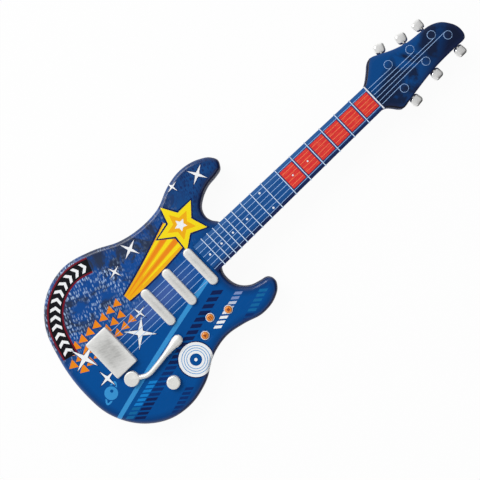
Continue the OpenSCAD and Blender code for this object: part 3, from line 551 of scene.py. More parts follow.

# %% [markdown]
# ## Blue shells, frets and nut
# The neck is one blue moulding from the fingerboard to the headstock, with a painted highlight on its bass
# edge, painted navy shade on its treble edge, and smoke past the nut. The frets are white on their crowns,
# as if from a paint roller, and
# blue on their flanks. Separate pieces for each tone would show seams, so the paints read a point's place
# or the way its surface faces.

# %% Blue shells, frets and nut
HEAD_BLUE, HEAD_DEEP, HEAD_SMOKE = rgb(12, 72, 136), rgb(18, 28, 58), rgb(22, 30, 54)
SMOKE_LEAN, SMOKE_SIDE = 0.35, (0.106, 0.118)
TIP_LEAN, TIP_FADE = 0.6, (0.24, 0.274)
SMOKE_SCALE, SMOKE_OFFSET = 30.0, (0.31, 0.07, 0.0)
SMOKE_DRIFT = (0.46, 0.58, 0.0, 0.9)
SMOKE_BY_NUT = (0.39, 0.35, 0.0, 0.08)
# Painted shade: the navy of the fingerboard's treble strip. Painted highlight: the pale blue of its bass
# strip.
BOARD_SHADE_NAVY, BOARD_HIGHLIGHT = rgb(15, 34, 82), rgb(48, 98, 160)
TREBLE_SHADE_STRIP, BASS_HIGHLIGHT_STRIP = (-0.0125, -0.0155), (0.008, 0.018)
BOARD_END = 0.001
NUT_EDGE, NUT_BLEND, NUT_BLUE = 0.0013, 0.0002, rgb(16, 56, 116)
CROWN_FACING, FLANK_BLUE = (0.72, 0.93), rgb(84, 138, 208)
BACK = dict(dull=(0.34, 0.5), fineness=600.0, bump=0.3, scuffs=0.12)


def head_smoke(tree, colour):
    """Royal blue that deepens towards the tip, with drifts of near-black smoke, thicker by the nut."""
    place = place_on(tree)
    axes = split(tree, place)
    slant, to_tip = (calc(tree, "SUBTRACT", times(tree, axes["X"], lean), axes["Y"])
                     for lean in (SMOKE_LEAN, TIP_LEAN))
    moved = add(tree, "ShaderNodeMapping", Vector=place, Location=SMOKE_OFFSET).outputs[0]
    clouds = noise(tree, moved, SMOKE_SCALE, Detail=5.0, Roughness=0.6, Distortion=0.4)
    thicker = calc(tree, "ADD", clouds, spread(tree, axes["X"], *SMOKE_BY_NUT))
    smoke = times(tree, spread(tree, thicker, *SMOKE_DRIFT), spread(tree, slant, *SMOKE_SIDE))
    return tint(tree, smoke, tint(tree, spread(tree, to_tip, *TIP_FADE), colour, HEAD_DEEP), HEAD_SMOKE)


def board_blue(tree, colour):
    """Board blue: painted highlight on the bass edge, painted shade on the treble edge, smoke past the nut.
    """
    axes = split(tree, place_on(tree))
    # Painted shade on the treble edge, then a painted highlight on the bass edge.
    dark = tint(tree, spread(tree, axes["Y"], *TREBLE_SHADE_STRIP), colour, BOARD_SHADE_NAVY)
    shaded = tint(tree, spread(tree, axes["Y"], *BASS_HIGHLIGHT_STRIP), dark, BOARD_HIGHLIGHT)
    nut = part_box("nut")[1].x
    return tint(tree, spread(tree, axes["X"], nut, nut + BOARD_END), shaded, head_smoke(tree, HEAD_BLUE))


def nut_white(tree, colour):
    """White on the edge that faces the buttons, and the headstock's blue behind it."""
    along = split(tree, place_on(tree))["X"]
    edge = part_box("nut")[0].x + NUT_EDGE
    return tint(tree, spread(tree, along, edge, edge + NUT_BLEND), colour, NUT_BLUE)


def rolled_white(tree, colour):
    """White that a roller leaves on the crown of a moulded bar, with the bar's blue on its flanks."""
    facing = split(tree, add(tree, "ShaderNodeNewGeometry").outputs["Normal"])["Z"]
    return tint(tree, spread(tree, facing, *CROWN_FACING), FLANK_BLUE, colour)


finish("blue_shell", (7, 28, 74), dull=(0.45, 0.58), specular=0.03)
finish("board_blue", (18, 79, 145), dull=(0.36, 0.48), specular=0.15, paint=board_blue)
finish("back_shell", (8, 40, 98), **BACK)
finish("back_wall", (8, 36, 90), specular=0.03, **BACK)
finish("fret_white", (230, 244, 254), drift=0.02, scuffs=0.1, paint=rolled_white)
finish("nut_white", (238, 242, 248), drift=0.02, scuffs=0.1, paint=nut_white)
print("finishes in all:", len(SHELL))

# %% [markdown]
# ## Dress the CAD nodes
# The record says which material slot each piece of the guitar has. The pieces could be dressed one by one,
# but most finishes bear the name of their slot, so one loop dresses them all. The cells that follow replace
# the nodes whose surface needs more than a finish.

# %% Dress the CAD nodes
SLOT_OF = {part["node"]: part["material_slot"] for part in frame["record"]["subparts"]}
OWN_FINISH = {"frets": "fret_white", "nut": "nut_white"}


def dress(piece, material):
    """Give a piece one material in place of those it has."""
    piece.data.materials.clear()
    piece.data.materials.append(material)


for node, piece in NODES.items():
    dress(piece, SHELL[OWN_FINISH.get(node, SLOT_OF[node])])
print("dressed", len(NODES), "nodes")

# %% [markdown]
# ## Smooth shells
# The moulded shells are curved all round, but the CAD file holds them as small flat facets. Subdividing
# would move their surface. A copy with its split points welded, and its shading smoothed wherever two
# facets meet at a gentle angle, shows the curve without moving a single point.

# %% Smooth shells
WELD = 1e-6
UPRIGHT = 0.5


def body_of(node):
    """The CAD body that carries a node."""
    bodies = frame["record"]["behaviour"]["bodies"]
    return next(body for body, members in bodies.items() if node in members)


def stand_for(piece, node):
    """Let a piece ride with the node that it stands for, and hide that node."""
    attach(piece, body_of(node))
    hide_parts(node)


def smooth_mesh(mesh, gentle):
    """Smooth shading across edges that bend less than gentle degrees."""
    mesh.polygons.foreach_set("use_smooth", [True] * len(mesh.polygons))
    mesh.set_sharp_from_angle(angle=math.radians(gentle))


def smooth_copy(node, finish_name, walls=None, gentle=32):
    """A welded and smooth copy of a node. walls is the finish of its upright faces."""
    mesh = NODES[node].data.copy()
    shape = bmesh.new()
    shape.from_mesh(mesh)
    bmesh.ops.remove_doubles(shape, verts=shape.verts, dist=WELD)
    shape.to_mesh(mesh)
    shape.free()
    if "custom_normal" in mesh.attributes:
        mesh.attributes.remove(mesh.attributes["custom_normal"])
    smooth_mesh(mesh, gentle)
    piece = bpy.data.objects.new(node + "_smooth", mesh)
    dress(piece, SHELL[finish_name])
    if walls:
        mesh.materials.append(SHELL[walls])
        upright = [int(abs(face.normal.z) < UPRIGHT) for face in mesh.polygons]
        mesh.polygons.foreach_set("material_index", upright)
    link(piece)
    stand_for(piece, node)


smooth_copy("body_front", "blue_shell")
smooth_copy("body_back", "back_shell", walls="back_wall")
smooth_copy("neck_front", "board_blue", walls="blue_shell")
smooth_copy("neck_back", "back_shell", walls="back_wall")
smooth_copy("whammy_bar", SLOT_OF["whammy_bar"], gentle=45)

# %% [markdown]
# ## The rim of the shell
# The front carries one printed film that wraps over the rolled edge. Its shape could be drawn again by
# hand, but it has to follow the shell, so we read the shell's rim from the CAD mesh. The rim is where
# upright faces end at one height, and we walk along those edges from point to point.

# %% Read the rim
MICRONS = 1e6
SAME_LEVEL = 1e-5
WALL_FACING = 0.1


def rim_loop(node, level):
    """The outer rim of a shell at one height, anticlockwise, in millimetres."""
    mesh = NODES[node].data
    spot = [(round(v.co.x * MICRONS), round(v.co.y * MICRONS)) for v in mesh.vertices]
    flush = [abs(v.co.z - level) < SAME_LEVEL for v in mesh.vertices]
    near = {}
    for face in mesh.polygons:
        if abs(face.normal.z) < WALL_FACING:
            for a, b in face.edge_keys:
                if flush[a] and flush[b] and spot[a] != spot[b]:
                    near.setdefault(spot[a], set()).add(spot[b])
                    near.setdefault(spot[b], set()).add(spot[a])
    walk = [min(near, key=lambda p: (len(near[p]), p))]
    ahead = near[walk[0]]
    while ahead:
        walk.append(min(ahead))
        ahead = near[walk[-1]] - set(walk[-2:]) - {walk[0]}
    loop = np.array(walk) * MM
    x, y = loop.T
    area = (x * np.roll(y, -1) - np.roll(x, -1) * y).sum()
    return loop if area > 0 else loop[::-1]


front_points = rim_loop("body_front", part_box("body_front")[0].z)
print("rim of the body:", len(front_points), "points")

# %% [markdown]
# ## Smooth and inset curves
# The points of the rim stand apart, and straight lines between them would show as corners. A curve object
# could round them off, but arrays of points are easier to move inwards later. So we work out a smooth curve
# through the points. Setting it inwards by its mitre keeps every step up the roll the same distance from
# the rim.

# %% Smooth and inset curves
RIM_STEPS = 4


def unit(v):
    """Vectors brought to length 1."""
    return v / np.linalg.norm(v, axis=1)[:, None]


def smooth_loop(points, steps):
    """A smooth closed curve through points, with steps pieces between each two."""
    before, after = points - np.roll(points, 1, 0), np.roll(points, -1, 0) - points
    u, v = np.linalg.norm(before, axis=1)[:, None], np.linalg.norm(after, axis=1)[:, None]
    slope = unit(before * v / u + after * u / v)
    a, b, sa, sb = points, np.roll(points, -1, 0), slope, np.roll(slope, -1, 0)
    rows = [a * (2 * t**3 - 3 * t * t + 1) + b * (3 * t * t - 2 * t**3)
            + v * sa * (t**3 - 2 * t * t + t) + v * sb * (t**3 - t * t) for t in np.arange(steps) / steps]
    return np.stack(rows, 1).reshape(-1, 2)


def inset(loop, distance):
    """A closed anticlockwise loop set inwards by distance."""
    way = unit(loop - np.roll(loop, 1, 0)) + unit(np.roll(loop, -1, 0) - loop)
    inward = np.stack((-way[:, 1], way[:, 0]), 1)
    return loop + 2 * distance * inward / (way * way).sum(1)[:, None]


front_rim = smooth_loop(front_points, RIM_STEPS)
print("front rim:", len(front_rim), "points")

# %% [markdown]
# ## Near a curve, inside a curve
# The film needs two measures: how far a point is from the rim, and whether it lies inside a printed shape.
# Blender could answer with rays and a search tree, but in the plane both take a few lines of arithmetic
# over whole arrays: the nearest place on any side, and an odd or even count of sides to the right.

# %% Near a curve, inside a curve
POINTS_AT_ONCE = 400
TINY = 1e-12


def distance_to(loop, points):
    """How far each point is from a closed loop, worked out for a few hundred points at a time."""
    span = np.roll(loop, -1, 0) - loop
    length = np.maximum((span * span).sum(1), TINY)
    found = []
    for block in np.array_split(points, max(1, len(points) // POINTS_AT_ONCE)):
        off = block[:, None, :] - loop[None]
        t = np.clip((off * span).sum(2) / length, 0, 1)
        found.append(np.linalg.norm(off - t[:, :, None] * span, axis=2).min(1))
    return np.concatenate(found)


def inside(loop, points):
    """Which points lie inside a closed loop: those with an odd count of its sides to their right."""
    held = np.zeros(len(points), bool)
    near = ((points > loop.min(0)) & (points < loop.max(0))).all(1)
    x, y = points[near].T
    odd = np.zeros(len(x), bool)
    for (ax, ay), (bx, by) in zip(np.roll(loop, 1, 0), loop):
        if ay != by:
            odd ^= ((ay > y) != (by > y)) & (x < (bx - ax) * (y - ay) / (by - ay) + ax)
    held[near] = odd
    return held


rim_middle = front_rim.mean(0)[None]
print("from the rim to its middle: %.0f mm" % distance_to(front_rim, rim_middle)[0])

# %% [markdown]
# ## The airbrushed blue
# The front's blue looks airbrushed: royal blue, with smoke and a spray of short dashes on the bass side.
# Over it lie a painted lilac highlight under the strings and painted navy shade along rims that slope away
# from the light and on the treble side. A drawing program could paint all this, but nodes stay crisp from
# close by. The spray comes from stretched cells whose middles are kept as dashes, and the painted shade
# reads the distance from the rim that the film will store.

# %% The airbrushed blue
DASH_TURN, DASH_CELLS, DASH_SIZE = -1.157, (190, 560, 1), (0.44, 0.3)
DASH_CHANCE, DASH_CLOUDS, DASH_PATCH = (0.25, 0.7), 38.0, (0.34, 0.5)
BASS_SIDE, HORN_SIDE = (0.01, 0.05), (0.02, 0.07)
BASS_BLUE, HORN_BLUE = rgb(16, 74, 148), rgb(22, 72, 132)
BASS_SMOKE, HORN_SMOKE = rgb(44, 52, 68), rgb(26, 56, 106)
BASS_DASH, HORN_DASH = rgb(164, 190, 226), rgb(22, 46, 98)
CLOUD_SCALE, SMOKE_DENSITY = 24.0, (0.47, 0.57, 0.0, 0.9)
SPRAY_REACH = (-0.025, -0.05, 0.1, 1.0)
# A painted lilac highlight lies in an oval under the strings.
HIGHLIGHT_MIDDLE, HIGHLIGHT_SHRINK = (-0.03, 0.004, 0.0), (1 / 0.065, 1 / 0.022, 0.0)
HIGHLIGHT_FADE, LILAC_HIGHLIGHT = (1.15, 0.25, 0.0, 0.4), rgb(104, 120, 186)
# Painted shade: navy on rims that slope away from the light and on the treble side.
LEE_SIDE, TREBLE_SHADE = (-0.5, 0.5, 0.1, 1.0), (0.02, -0.03, 0.0, 0.65)
RIM_SHADE, RIM_SHADE_NAVY = (0.012, 0.001), rgb(12, 20, 64)


def spray_dashes(tree, place):
    """A mask of short slanting dashes, in patches. Chance leaves some of the dashes out."""
    turned = add(tree, "ShaderNodeVectorRotate", {"rotation_type": "Z_AXIS"}, Vector=place, Angle=DASH_TURN)
    laid = add(tree, "ShaderNodeMapping", Vector=turned.outputs[0], Scale=DASH_CELLS)
    cells = add(tree, "ShaderNodeTexVoronoi", {"voronoi_dimensions": "2D"}, Vector=laid.outputs[0],
                Scale=1.0, Randomness=0.8).outputs
    chance = add(tree, "ShaderNodeSeparateColor", Color=cells["Color"]).outputs[0]
    patch = spread(tree, noise(tree, place, DASH_CLOUDS, Detail=2.0), *DASH_PATCH)
    dash = spread(tree, cells["Distance"], *DASH_SIZE)
    return times(tree, dash, spread(tree, chance, *DASH_CHANCE), patch)


def lilac_highlight(tree, place, colour):
    """The ground colour with an oval painted lilac highlight under the strings."""
    off = vector_calc(tree, "SUBTRACT", place, HIGHLIGHT_MIDDLE)[0]
    far = vector_calc(tree, "LENGTH", vector_calc(tree, "MULTIPLY", off, HIGHLIGHT_SHRINK)[0])["Value"]
    return tint(tree, spread(tree, far, *HIGHLIGHT_FADE), colour, LILAC_HIGHLIGHT)


def painted_rim_shade(tree, axes):
    """A painted-shade mask along the rim, strong where it slopes away from the light and on the treble side.
    """
    normal = add(tree, "ShaderNodeNewGeometry").outputs["Normal"]
    lee = spread(tree, vector_calc(tree, "DOT_PRODUCT", normal, PICTURE_RIGHT)["Value"], *LEE_SIDE)
    shaded = calc(tree, "MAXIMUM", lee, spread(tree, axes["Y"], *TREBLE_SHADE))
    return times(tree, spread(tree, rim_distance(tree), *RIM_SHADE), shaded)


def airbrushed_blue(tree, colour):
    """Royal blue ground, painted highlight, smoke and spray on the bass side and horn, painted rim shade."""
    place = place_on(tree)
    axes = split(tree, place)
    bass, horn = spread(tree, axes["Y"], *BASS_SIDE), spread(tree, axes["X"], *HORN_SIDE)
    # The lilac under the strings is a painted highlight.
    ground = tint(tree, bass, lilac_highlight(tree, place, colour), tint(tree, horn, BASS_BLUE, HORN_BLUE))
    clouds = noise(tree, place, CLOUD_SCALE, Detail=5.0, Roughness=0.6, Distortion=1.5)
    dusk = times(tree, spread(tree, clouds, *SMOKE_DENSITY), bass)
    smoked = tint(tree, dusk, ground, tint(tree, horn, BASS_SMOKE, HORN_SMOKE))
    where = calc(tree, "MAXIMUM", spread(tree, axes["X"], *SPRAY_REACH), horn)
    strokes = times(tree, spray_dashes(tree, place), bass, where)
    sprayed = tint(tree, strokes, smoked, tint(tree, horn, BASS_DASH, HORN_DASH))
    # Painted shade: navy along the rim.
    return tint(tree, painted_rim_shade(tree, axes), sprayed, RIM_SHADE_NAVY)


print("the glow is %.0f mm long" % (2000 / HIGHLIGHT_SHRINK[0]))

# %% [markdown]
# ## The set of inks
# Besides that blue, the front is printed in flat colours, and the headstock in a blue of its own, with
# painted shade along its treble rim and on its shoulders at the nut. Each ink could be a plain shader, but
# inks on one film share
# one gloss. So they use the plastic recipe, with the same fine grain and a clear coat that only the rolled
# edge has.

# %% The set of inks
# Painted shade: navy along the headstock's treble rim, and near black on its shoulders at the nut.
HEAD_RIM, HEAD_RIM_SIDE, HEAD_RIM_SHADE = (0.006, 0.0005), (0.0, 0.01, 0.7, 0.1), rgb(18, 32, 74)
SHOULDER_RIM, SHOULDER_END, SHOULDER_SHADE = (0.0022, 0.0014), (0.354, 0.35), rgb(9, 12, 34)
COAT_INNER, COAT_OUTER = (0.006, 0.002), (0.0005, 0.0015)


def headstock_blue(tree, colour):
    """Headstock print with painted shade: navy on its treble rim, near black on its shoulders at the nut."""
    axes, edge = split(tree, place_on(tree)), rim_distance(tree)
    # Masks of painted shade: one for the treble rim, one for the shoulders by the nut.
    rim = times(tree, spread(tree, edge, *HEAD_RIM), spread(tree, axes["Y"], *HEAD_RIM_SIDE))
    shoulder = times(tree, spread(tree, edge, *SHOULDER_RIM), spread(tree, axes["X"], *SHOULDER_END))
    return tint(tree, shoulder, tint(tree, rim, head_smoke(tree, colour), HEAD_RIM_SHADE), SHOULDER_SHADE)


def rim_polish(most):
    """A clear coat on the rolled edge, none on the flat print or down the side. most is its full weight."""
    def polish(tree):
        edge = rim_distance(tree)
        return times(tree, spread(tree, edge, *COAT_INNER), spread(tree, edge, *COAT_OUTER), most)
    return polish


INK = dict(dull=(0.3, 0.4), fineness=1400.0, bump=0.08, drift=0.03, scuffs=0.2, specular=0.08)
PLAIN_INKS = {
    "navy": (12, 32, 84), "dusk": (8, 48, 110), "azure": (22, 132, 210), "haze": (126, 146, 196),
    "mist": (196, 206, 226), "sky": (58, 150, 214), "teal": (18, 104, 162), "white": (244, 246, 248),
    "yellow": (250, 224, 28), "gold": (244, 178, 24), "orange": (240, 138, 26), "crimson": (116, 18, 36),
    "black": (18, 18, 24)}
PRINT = {
    "royal": plastic("ink_royal", rgb(0, 78, 150), paint=airbrushed_blue, polish=rim_polish(1.0), **INK),
    "head": plastic("ink_head", HEAD_BLUE, paint=headstock_blue, polish=rim_polish(0.4), **INK)}
for name, colour in PLAIN_INKS.items():
    PRINT[name] = plastic("ink_" + name, rgb(*colour), polish=rim_polish(1.0), **INK)
print("inks:", sorted(PRINT))

# %% [markdown]
# ## The film itself
# A printed film is a thin sheet with crisp colour borders. A picture on the shell would blur from close by,
# so the film is one mesh: all loops and the edges of the printed shapes go into a constrained
# triangulation, and every colour border is a real edge. Each triangle takes the ink of the last printed
# shape that covers it, and each point drops over the rolled edge by its distance from the rim, which is
# also stored for the painted rim shade and the clear coat.

# %% The film itself
FILM = 0.12
FILM_DEPTH = 0.6 * FILM
ROLL_STEPS = 6
JOIN_WITHIN = 1e-3


def store_rim(mesh, distances):
    """Keep each point's distance from the rim, given in millimetres, for the paints that read it."""
    kept = mesh.attributes.new("rim_distance", "FLOAT", "POINT")
    kept.data.foreach_set("value", distances * MM)


def grid_inside(outer, margin, pitch):
    """Points on a square grid that lie inside a loop, clear of it by a margin."""
    low, high = outer.min(0), outer.max(0)
    spots = np.array([(x, y) for x in np.arange(low[0], high[0], pitch)
                      for y in np.arange(low[1], high[1], pitch)])
    spots = spots[inside(outer, spots)]
    return spots[distance_to(outer, spots) > margin]


def film(name, rim, roll, top, cuts, shapes, inks, pitch):
    """A printed film over a rolled edge. cuts are holes, shapes are (ink, outline) in paint order."""
    outer, roll, top = inset(rim, -FILM), roll + FILM, top + FILM
    turns = [math.pi / 2 * k / ROLL_STEPS for k in range(ROLL_STEPS + 1)]
    loops = [inset(outer, roll * (1 - math.cos(a))) for a in turns] + cuts + [shape for _, shape in shapes]
    points, edges = [Vector(p) for p in grid_inside(outer, roll + pitch / 2, pitch)], []
    for loop in loops:
        first, count = len(points), len(loop)
        points += [Vector(p) for p in loop]
        edges += [(first + i, first + (i + 1) % count) for i in range(count)]
    flat, _, faces, *_ = delaunay_2d_cdt(points, edges, [], 0, JOIN_WITHIN)
    flat = np.array(flat)
    middle = np.array([flat[list(f)].mean(0) for f in faces])
    keep = inside(outer, middle)
    for cut in cuts:
        keep &= ~inside(cut, middle)
    colour = np.zeros(len(faces), int)
    for ink, shape in shapes:
        colour[inside(shape, middle)] = inks.index(ink)
    edge = distance_to(outer, flat)
    fall = roll - np.sqrt(np.maximum(roll**2 - np.maximum(roll - edge, 0) ** 2, 0))
    used = sorted({i for k, f in zip(keep, faces) if k for i in f})
    number = {old: new for new, old in enumerate(used)}
    mesh = bpy.data.meshes.new(name)
    mesh.from_pydata([(flat[i][0] * MM, flat[i][1] * MM, (top - fall[i]) * MM) for i in used], [],
                     [[number[i] for i in f] for k, f in zip(keep, faces) if k])
    mesh.polygons.foreach_set("use_smooth", [True] * len(mesh.polygons))
    mesh.polygons.foreach_set("material_index", colour[keep])
    store_rim(mesh, edge[used])
    for ink in inks:
        mesh.materials.append(PRINT[ink])
    piece = bpy.data.objects.new(name, mesh)
    link(piece)
    thick = piece.modifiers.new("film_thickness", "SOLIDIFY")
    thick.thickness = FILM_DEPTH * MM
    thick.offset = -1
    return piece


print("the film lies %.2f mm over the shell" % FILM)

# %% [markdown]
# ## Shapes to print
# The print is made of plain shapes: discs, stars, bars, arrows and tapering ribbons. They could be drawn as
# long lists of points, but a short function for each kind keeps their sizes plain. Each gives an outline in
# millimetres. Painting a larger dark shape first and a smaller bright one over it gives the inked border
# that comic printing has.

# %% Shapes to print
def turned(shape, turn, x, y):
    """A shape turned about its middle and put at a place."""
    c, s = math.cos(turn), math.sin(turn)
    return shape @ np.array([(c, s), (-s, c)]) + (x, y)


def disc(x, y, r, sides=56, flat=1.0, turn=0.0):
    """A circle, or an ellipse where flat is below 1."""
    a = np.arange(sides) * 2 * math.pi / sides
    return turned(np.stack((r * np.cos(a), r * flat * np.sin(a)), 1), turn, x, y)


def star(x, y, tip, notch, rays, turn):
    """A star with rays tips at radius tip and notches at radius notch."""
    a = turn + np.arange(2 * rays) * math.pi / rays
    r = np.where(np.arange(2 * rays) % 2 == 0, tip, notch)
    return np.stack((x + r * np.cos(a), y + r * np.sin(a)), 1)


def bar(x, y, long, wide):
    """A rectangle about its middle."""
    return np.array([(-long, -wide), (long, -wide), (long, wide), (-long, wide)]) / 2 + (x, y)


def arrow(x, y, size, turn):
    """A bent bar that points along turn."""
    shape = np.array([(-0.6, -1), (0.1, -1), (0.8, 0), (0.1, 1), (-0.6, 1), (0.1, 0)]) * size / 2
    return turned(shape, turn, x, y)


def ribbon(path, widths):
    """A band along a path that is as wide as widths at its points."""
    way = np.gradient(path, axis=0)
    side = np.stack((-way[:, 1], way[:, 0]), 1) / np.linalg.norm(way, axis=1)[:, None]
    half = np.asarray(widths)[:, None] / 2
    return np.concatenate((path + side * half, (path - side * half)[::-1]))


def sweep(knots, count):
    """Points along a smooth open curve through a few knots."""
    knots = np.array(knots, float)
    t = np.linspace(0, len(knots) - 1, count)
    fit = [np.polyfit(np.arange(len(knots)), knots[:, k], min(3, len(knots) - 1)) for k in (0, 1)]
    return np.stack([np.polyval(f, t) for f in fit], 1)


print("a five-point star has", len(star(0, 0, 2, 1, 5, 0)), "corners")

# %% [markdown]
# ## The comet
# A loud toy has a loud front. The largest figure here is a comet beside the strings: a yellow star with a
# tail that streams towards the bridge. The tail could be one flat shape, but five streaks that widen
# towards the star make it look fast. Each streak has a side, a start and a width.

# %% The comet
COMET_HEAD, COMET_END, COMET_BEND = np.array((52.0, 50.0)), np.array((-55.0, 31.0)), (-10, 37)
TAIL_STOP, TAIL_KNOTS, STREAK_KNOTS = 9, 14, 8
TAIL_NARROW, TAIL_WIDE, TAIL_BORDER, TAIL_OPENING = 9, 37, 4.4, 15.5
STREAK_TIP = 0.6
STREAKS = ((-0.74, 0.22, 5.5), (-0.38, 0.04, 6.5), (0.0, 0.30, 6), (0.38, 0.0, 6.5), (0.76, 0.34, 5.5))
STAR_LAYERS = (("navy", 35.5, 17.6), ("yellow", 32.0, 15.0), ("gold", 18.5, 8.8), ("white", 8.0, 4.0))
STAR_TURN = 0.42

art = []


def lay(ink, shape):
    """Print a shape over what is there already."""
    art.append((ink, np.asarray(shape)))


def comet():
    """A star whose tail and streaks widen towards it."""
    way = COMET_HEAD - COMET_END
    side = np.array((-way[1], way[0])) / np.linalg.norm(way)
    tail_top = COMET_HEAD - TAIL_STOP * way / np.linalg.norm(way)
    path = sweep([COMET_END, COMET_BEND, tail_top], TAIL_KNOTS)
    for ink, border in (("navy", TAIL_BORDER), ("gold", 0.0)):
        lay(ink, ribbon(path, np.linspace(TAIL_NARROW, TAIL_WIDE, TAIL_KNOTS) + border))
    for k, (offset, start, wide) in enumerate(STREAKS):
        near = tail_top + side * offset * (TAIL_WIDE / 2)
        far = COMET_END + way * start + side * offset * (TAIL_NARROW / 2 + TAIL_OPENING * start)
        line = sweep([far, (near + far) / 2, near], STREAK_KNOTS)
        lay("orange" if k % 2 else "yellow", ribbon(line, np.linspace(STREAK_TIP, wide, STREAK_KNOTS)))
    for ink, tip, notch in STAR_LAYERS:
        lay(ink, star(*COMET_HEAD, tip, notch, 5, STAR_TURN))


comet()
print("comet:", len(art), "shapes")

# %% [markdown]
# ## Pennants and arrow band
# Orange pennants stand by the bridge and an arrow band runs round the upper bout. The band could have
# points of its own, but it is cut from the body's rim, set inwards, so it follows the bout. A pennant is a
# star with three rays and notches at half its radius, which makes a plain triangle.

# %% Pennants and arrow band
BAND_INSET, BAND_LEFT, BAND_RIGHT, BAND_LOW, BAND_LEAN = 14.5, -157, -58, 26, 0.35
BAND_LAYERS = (("crimson", 20.0), ("black", 16.0))
ARROW_START, ARROW_STOP, ARROW_STEP, ARROW_SIZE, ARROW_AHEAD = 7, 5, 10.5, 12.0, 2
PENNANT_X, PENNANT_END, PENNANT_STEP, PENNANT_Y = -68, -160, 11.8, 22
PENNANT_ROWS, PENNANT_SIZE, PENNANT_GROWTH, PENNANT_RISE = (12.9, 0.0, -12.9), 6.3, 0.008, 0.05


def pennants():
    """Three rows of triangles that point to the tail, each row half a step from the one beside it."""
    for row, offset in enumerate(PENNANT_ROWS):
        for x in np.arange(PENNANT_X - PENNANT_STEP / 2 * (row % 2), PENNANT_END, -PENNANT_STEP):
            size = PENNANT_SIZE - PENNANT_GROWTH * (x - PENNANT_X)
            y = PENNANT_Y + PENNANT_RISE * (x - PENNANT_X) + offset
            lay("orange", star(x, y, size, size / 2, 3, math.pi))


def arrow_band():
    """White arrows on a dark band that follows the upper bout."""
    line = inset(front_rim, BAND_INSET)
    held = [p for p in line if BAND_LEFT < p[0] < BAND_RIGHT and p[1] > BAND_LOW]
    path = np.array(sorted(held, key=lambda p: p[0] + BAND_LEAN * p[1]))
    for ink, wide in BAND_LAYERS:
        lay(ink, ribbon(path, np.full(len(path), wide)))
    along = np.concatenate(([0], np.cumsum(np.linalg.norm(np.diff(path, axis=0), axis=1))))
    for s in np.arange(ARROW_START, along[-1] - ARROW_STOP, ARROW_STEP):
        x, y = (np.interp(s, along, path[:, k]) for k in (0, 1))
        x2, y2 = (np.interp(s + ARROW_AHEAD, along, path[:, k]) for k in (0, 1))
        lay("white", arrow(x, y, ARROW_SIZE, math.atan2(y2 - y, x2 - x)))


pennants()
arrow_band()
print("comet, pennants and band:", len(art), "shapes")

# %% [markdown]
# ## Stripe, bars and small figures
# The treble side has a pale-blue stripe and rows of slanting bars that lean with the picture, not with the
# neck. One function spaces a row evenly or with a taper. A record by the waist, a ringed planet near the
# tail and white sparkles fill the rest, built from discs and four-pointed stars that cover each other.

# %% Stripe, bars and small figures
BAR_TILT = 0.08 - NECK_SLANT
STRIPE_LINE = ((-162, -66.6), (-118, -54.6), (-78, -44), (-23, -31), (34, -18.5))
STRIPE_WIDTHS = np.linspace(5.4, 5.6, 26)
RECORD_LAYERS = (("navy", 22.4), ("white", 21.0), ("sky", 17.4), ("white", 16.6), ("sky", 14.4),
                 ("white", 13.6), ("sky", 11.4), ("white", 10.6), ("royal", 7.4), ("white", 2.0))
PLANET_TURN = 0.5
PLANET_RING = (("sky", 15.0, 0.36), ("royal", 12.4, 0.24))
PLANET_BALL = (("royal", 0.0, 0.0, 9.4), ("sky", 0.0, 0.0, 8.2), ("royal", 2.2, 1.4, 2.0))
SPARKLES = ((-141, 14, 18, 0.3), (-72, -10, 20, 0.75), (-56, 8, 9, 0.2), (108, 80, 13, 0.5),
            (76, 90, 8, 0.2), (-12, 71, 13, 0.4), (-138, -22, 12, 0.1), (-44, 64, 9, 0.3))
SPARKLE_WAIST = 0.2
SPARKLE_LAYERS = (("navy", 2.4, 1.05), ("white", 0.0, 0.0))


def bars(start, end, inks, count, wide, fill, taper=1.0):
    """A row of slanting bars. Each fills a part of its step; the last step is taper times the first."""
    start, end = np.array(start, float), np.array(end, float)
    sizes = np.linspace(1.0, taper, count)
    places = np.concatenate(([0.0], np.cumsum((sizes[1:] + sizes[:-1]) / 2)))
    step = (end - start) / places[-1]
    across = np.array((math.cos(BAR_TILT), math.sin(BAR_TILT))) * wide / 2
    for k in range(count):
        middle, rise = start + step * places[k], step * sizes[k] * fill / 2
        shape = [middle + a * across + b * rise for a, b in ((-1, -1), (1, -1), (1, 1), (-1, 1))]
        lay(inks[k * len(inks) // count], shape)


def record_disc(x, y):
    """A record with pale grooves."""
    for ink, r in RECORD_LAYERS:
        lay(ink, disc(x, y, r))


def ringed_planet(x, y):
    """A planet with one spot, in front of its ring."""
    for ink, r, flat in PLANET_RING:
        lay(ink, disc(x, y, r, flat=flat, turn=PLANET_TURN))
    for ink, right, up, r in PLANET_BALL:
        lay(ink, disc(x + right, y + up, r))


lay("sky", ribbon(sweep(STRIPE_LINE, len(STRIPE_WIDTHS)), STRIPE_WIDTHS))
bars((27.4, -38.1), (-142, -83.5), ("navy", "navy", "dusk", "navy"), count=23, wide=13, fill=0.64,
     taper=0.63)
bars((-102, -62.8), (-150.5, -74.8), ("azure", "azure", "teal"), count=9, wide=9.5, fill=0.66)
bars((-76, -98.5), (-112, -109.5), ("dusk",), count=7, wide=10, fill=0.66)
bars((69.5, -74.5), (31, -86.5), ("teal", "teal", "dusk"), count=7, wide=10, fill=0.6)
bars((45.5, -56.3), (0, -69), ("haze", "mist", "white", "white"), count=8, wide=9.3, fill=0.6)
record_disc(-46, -79)
ringed_planet(-147, -38)
for x, y, reach, turn in SPARKLES:
    for ink, longer, thicker in SPARKLE_LAYERS:
        lay(ink, star(x, y, reach + longer, reach * SPARKLE_WAIST + thicker, 4, turn))
print("printed shapes:", len(art))

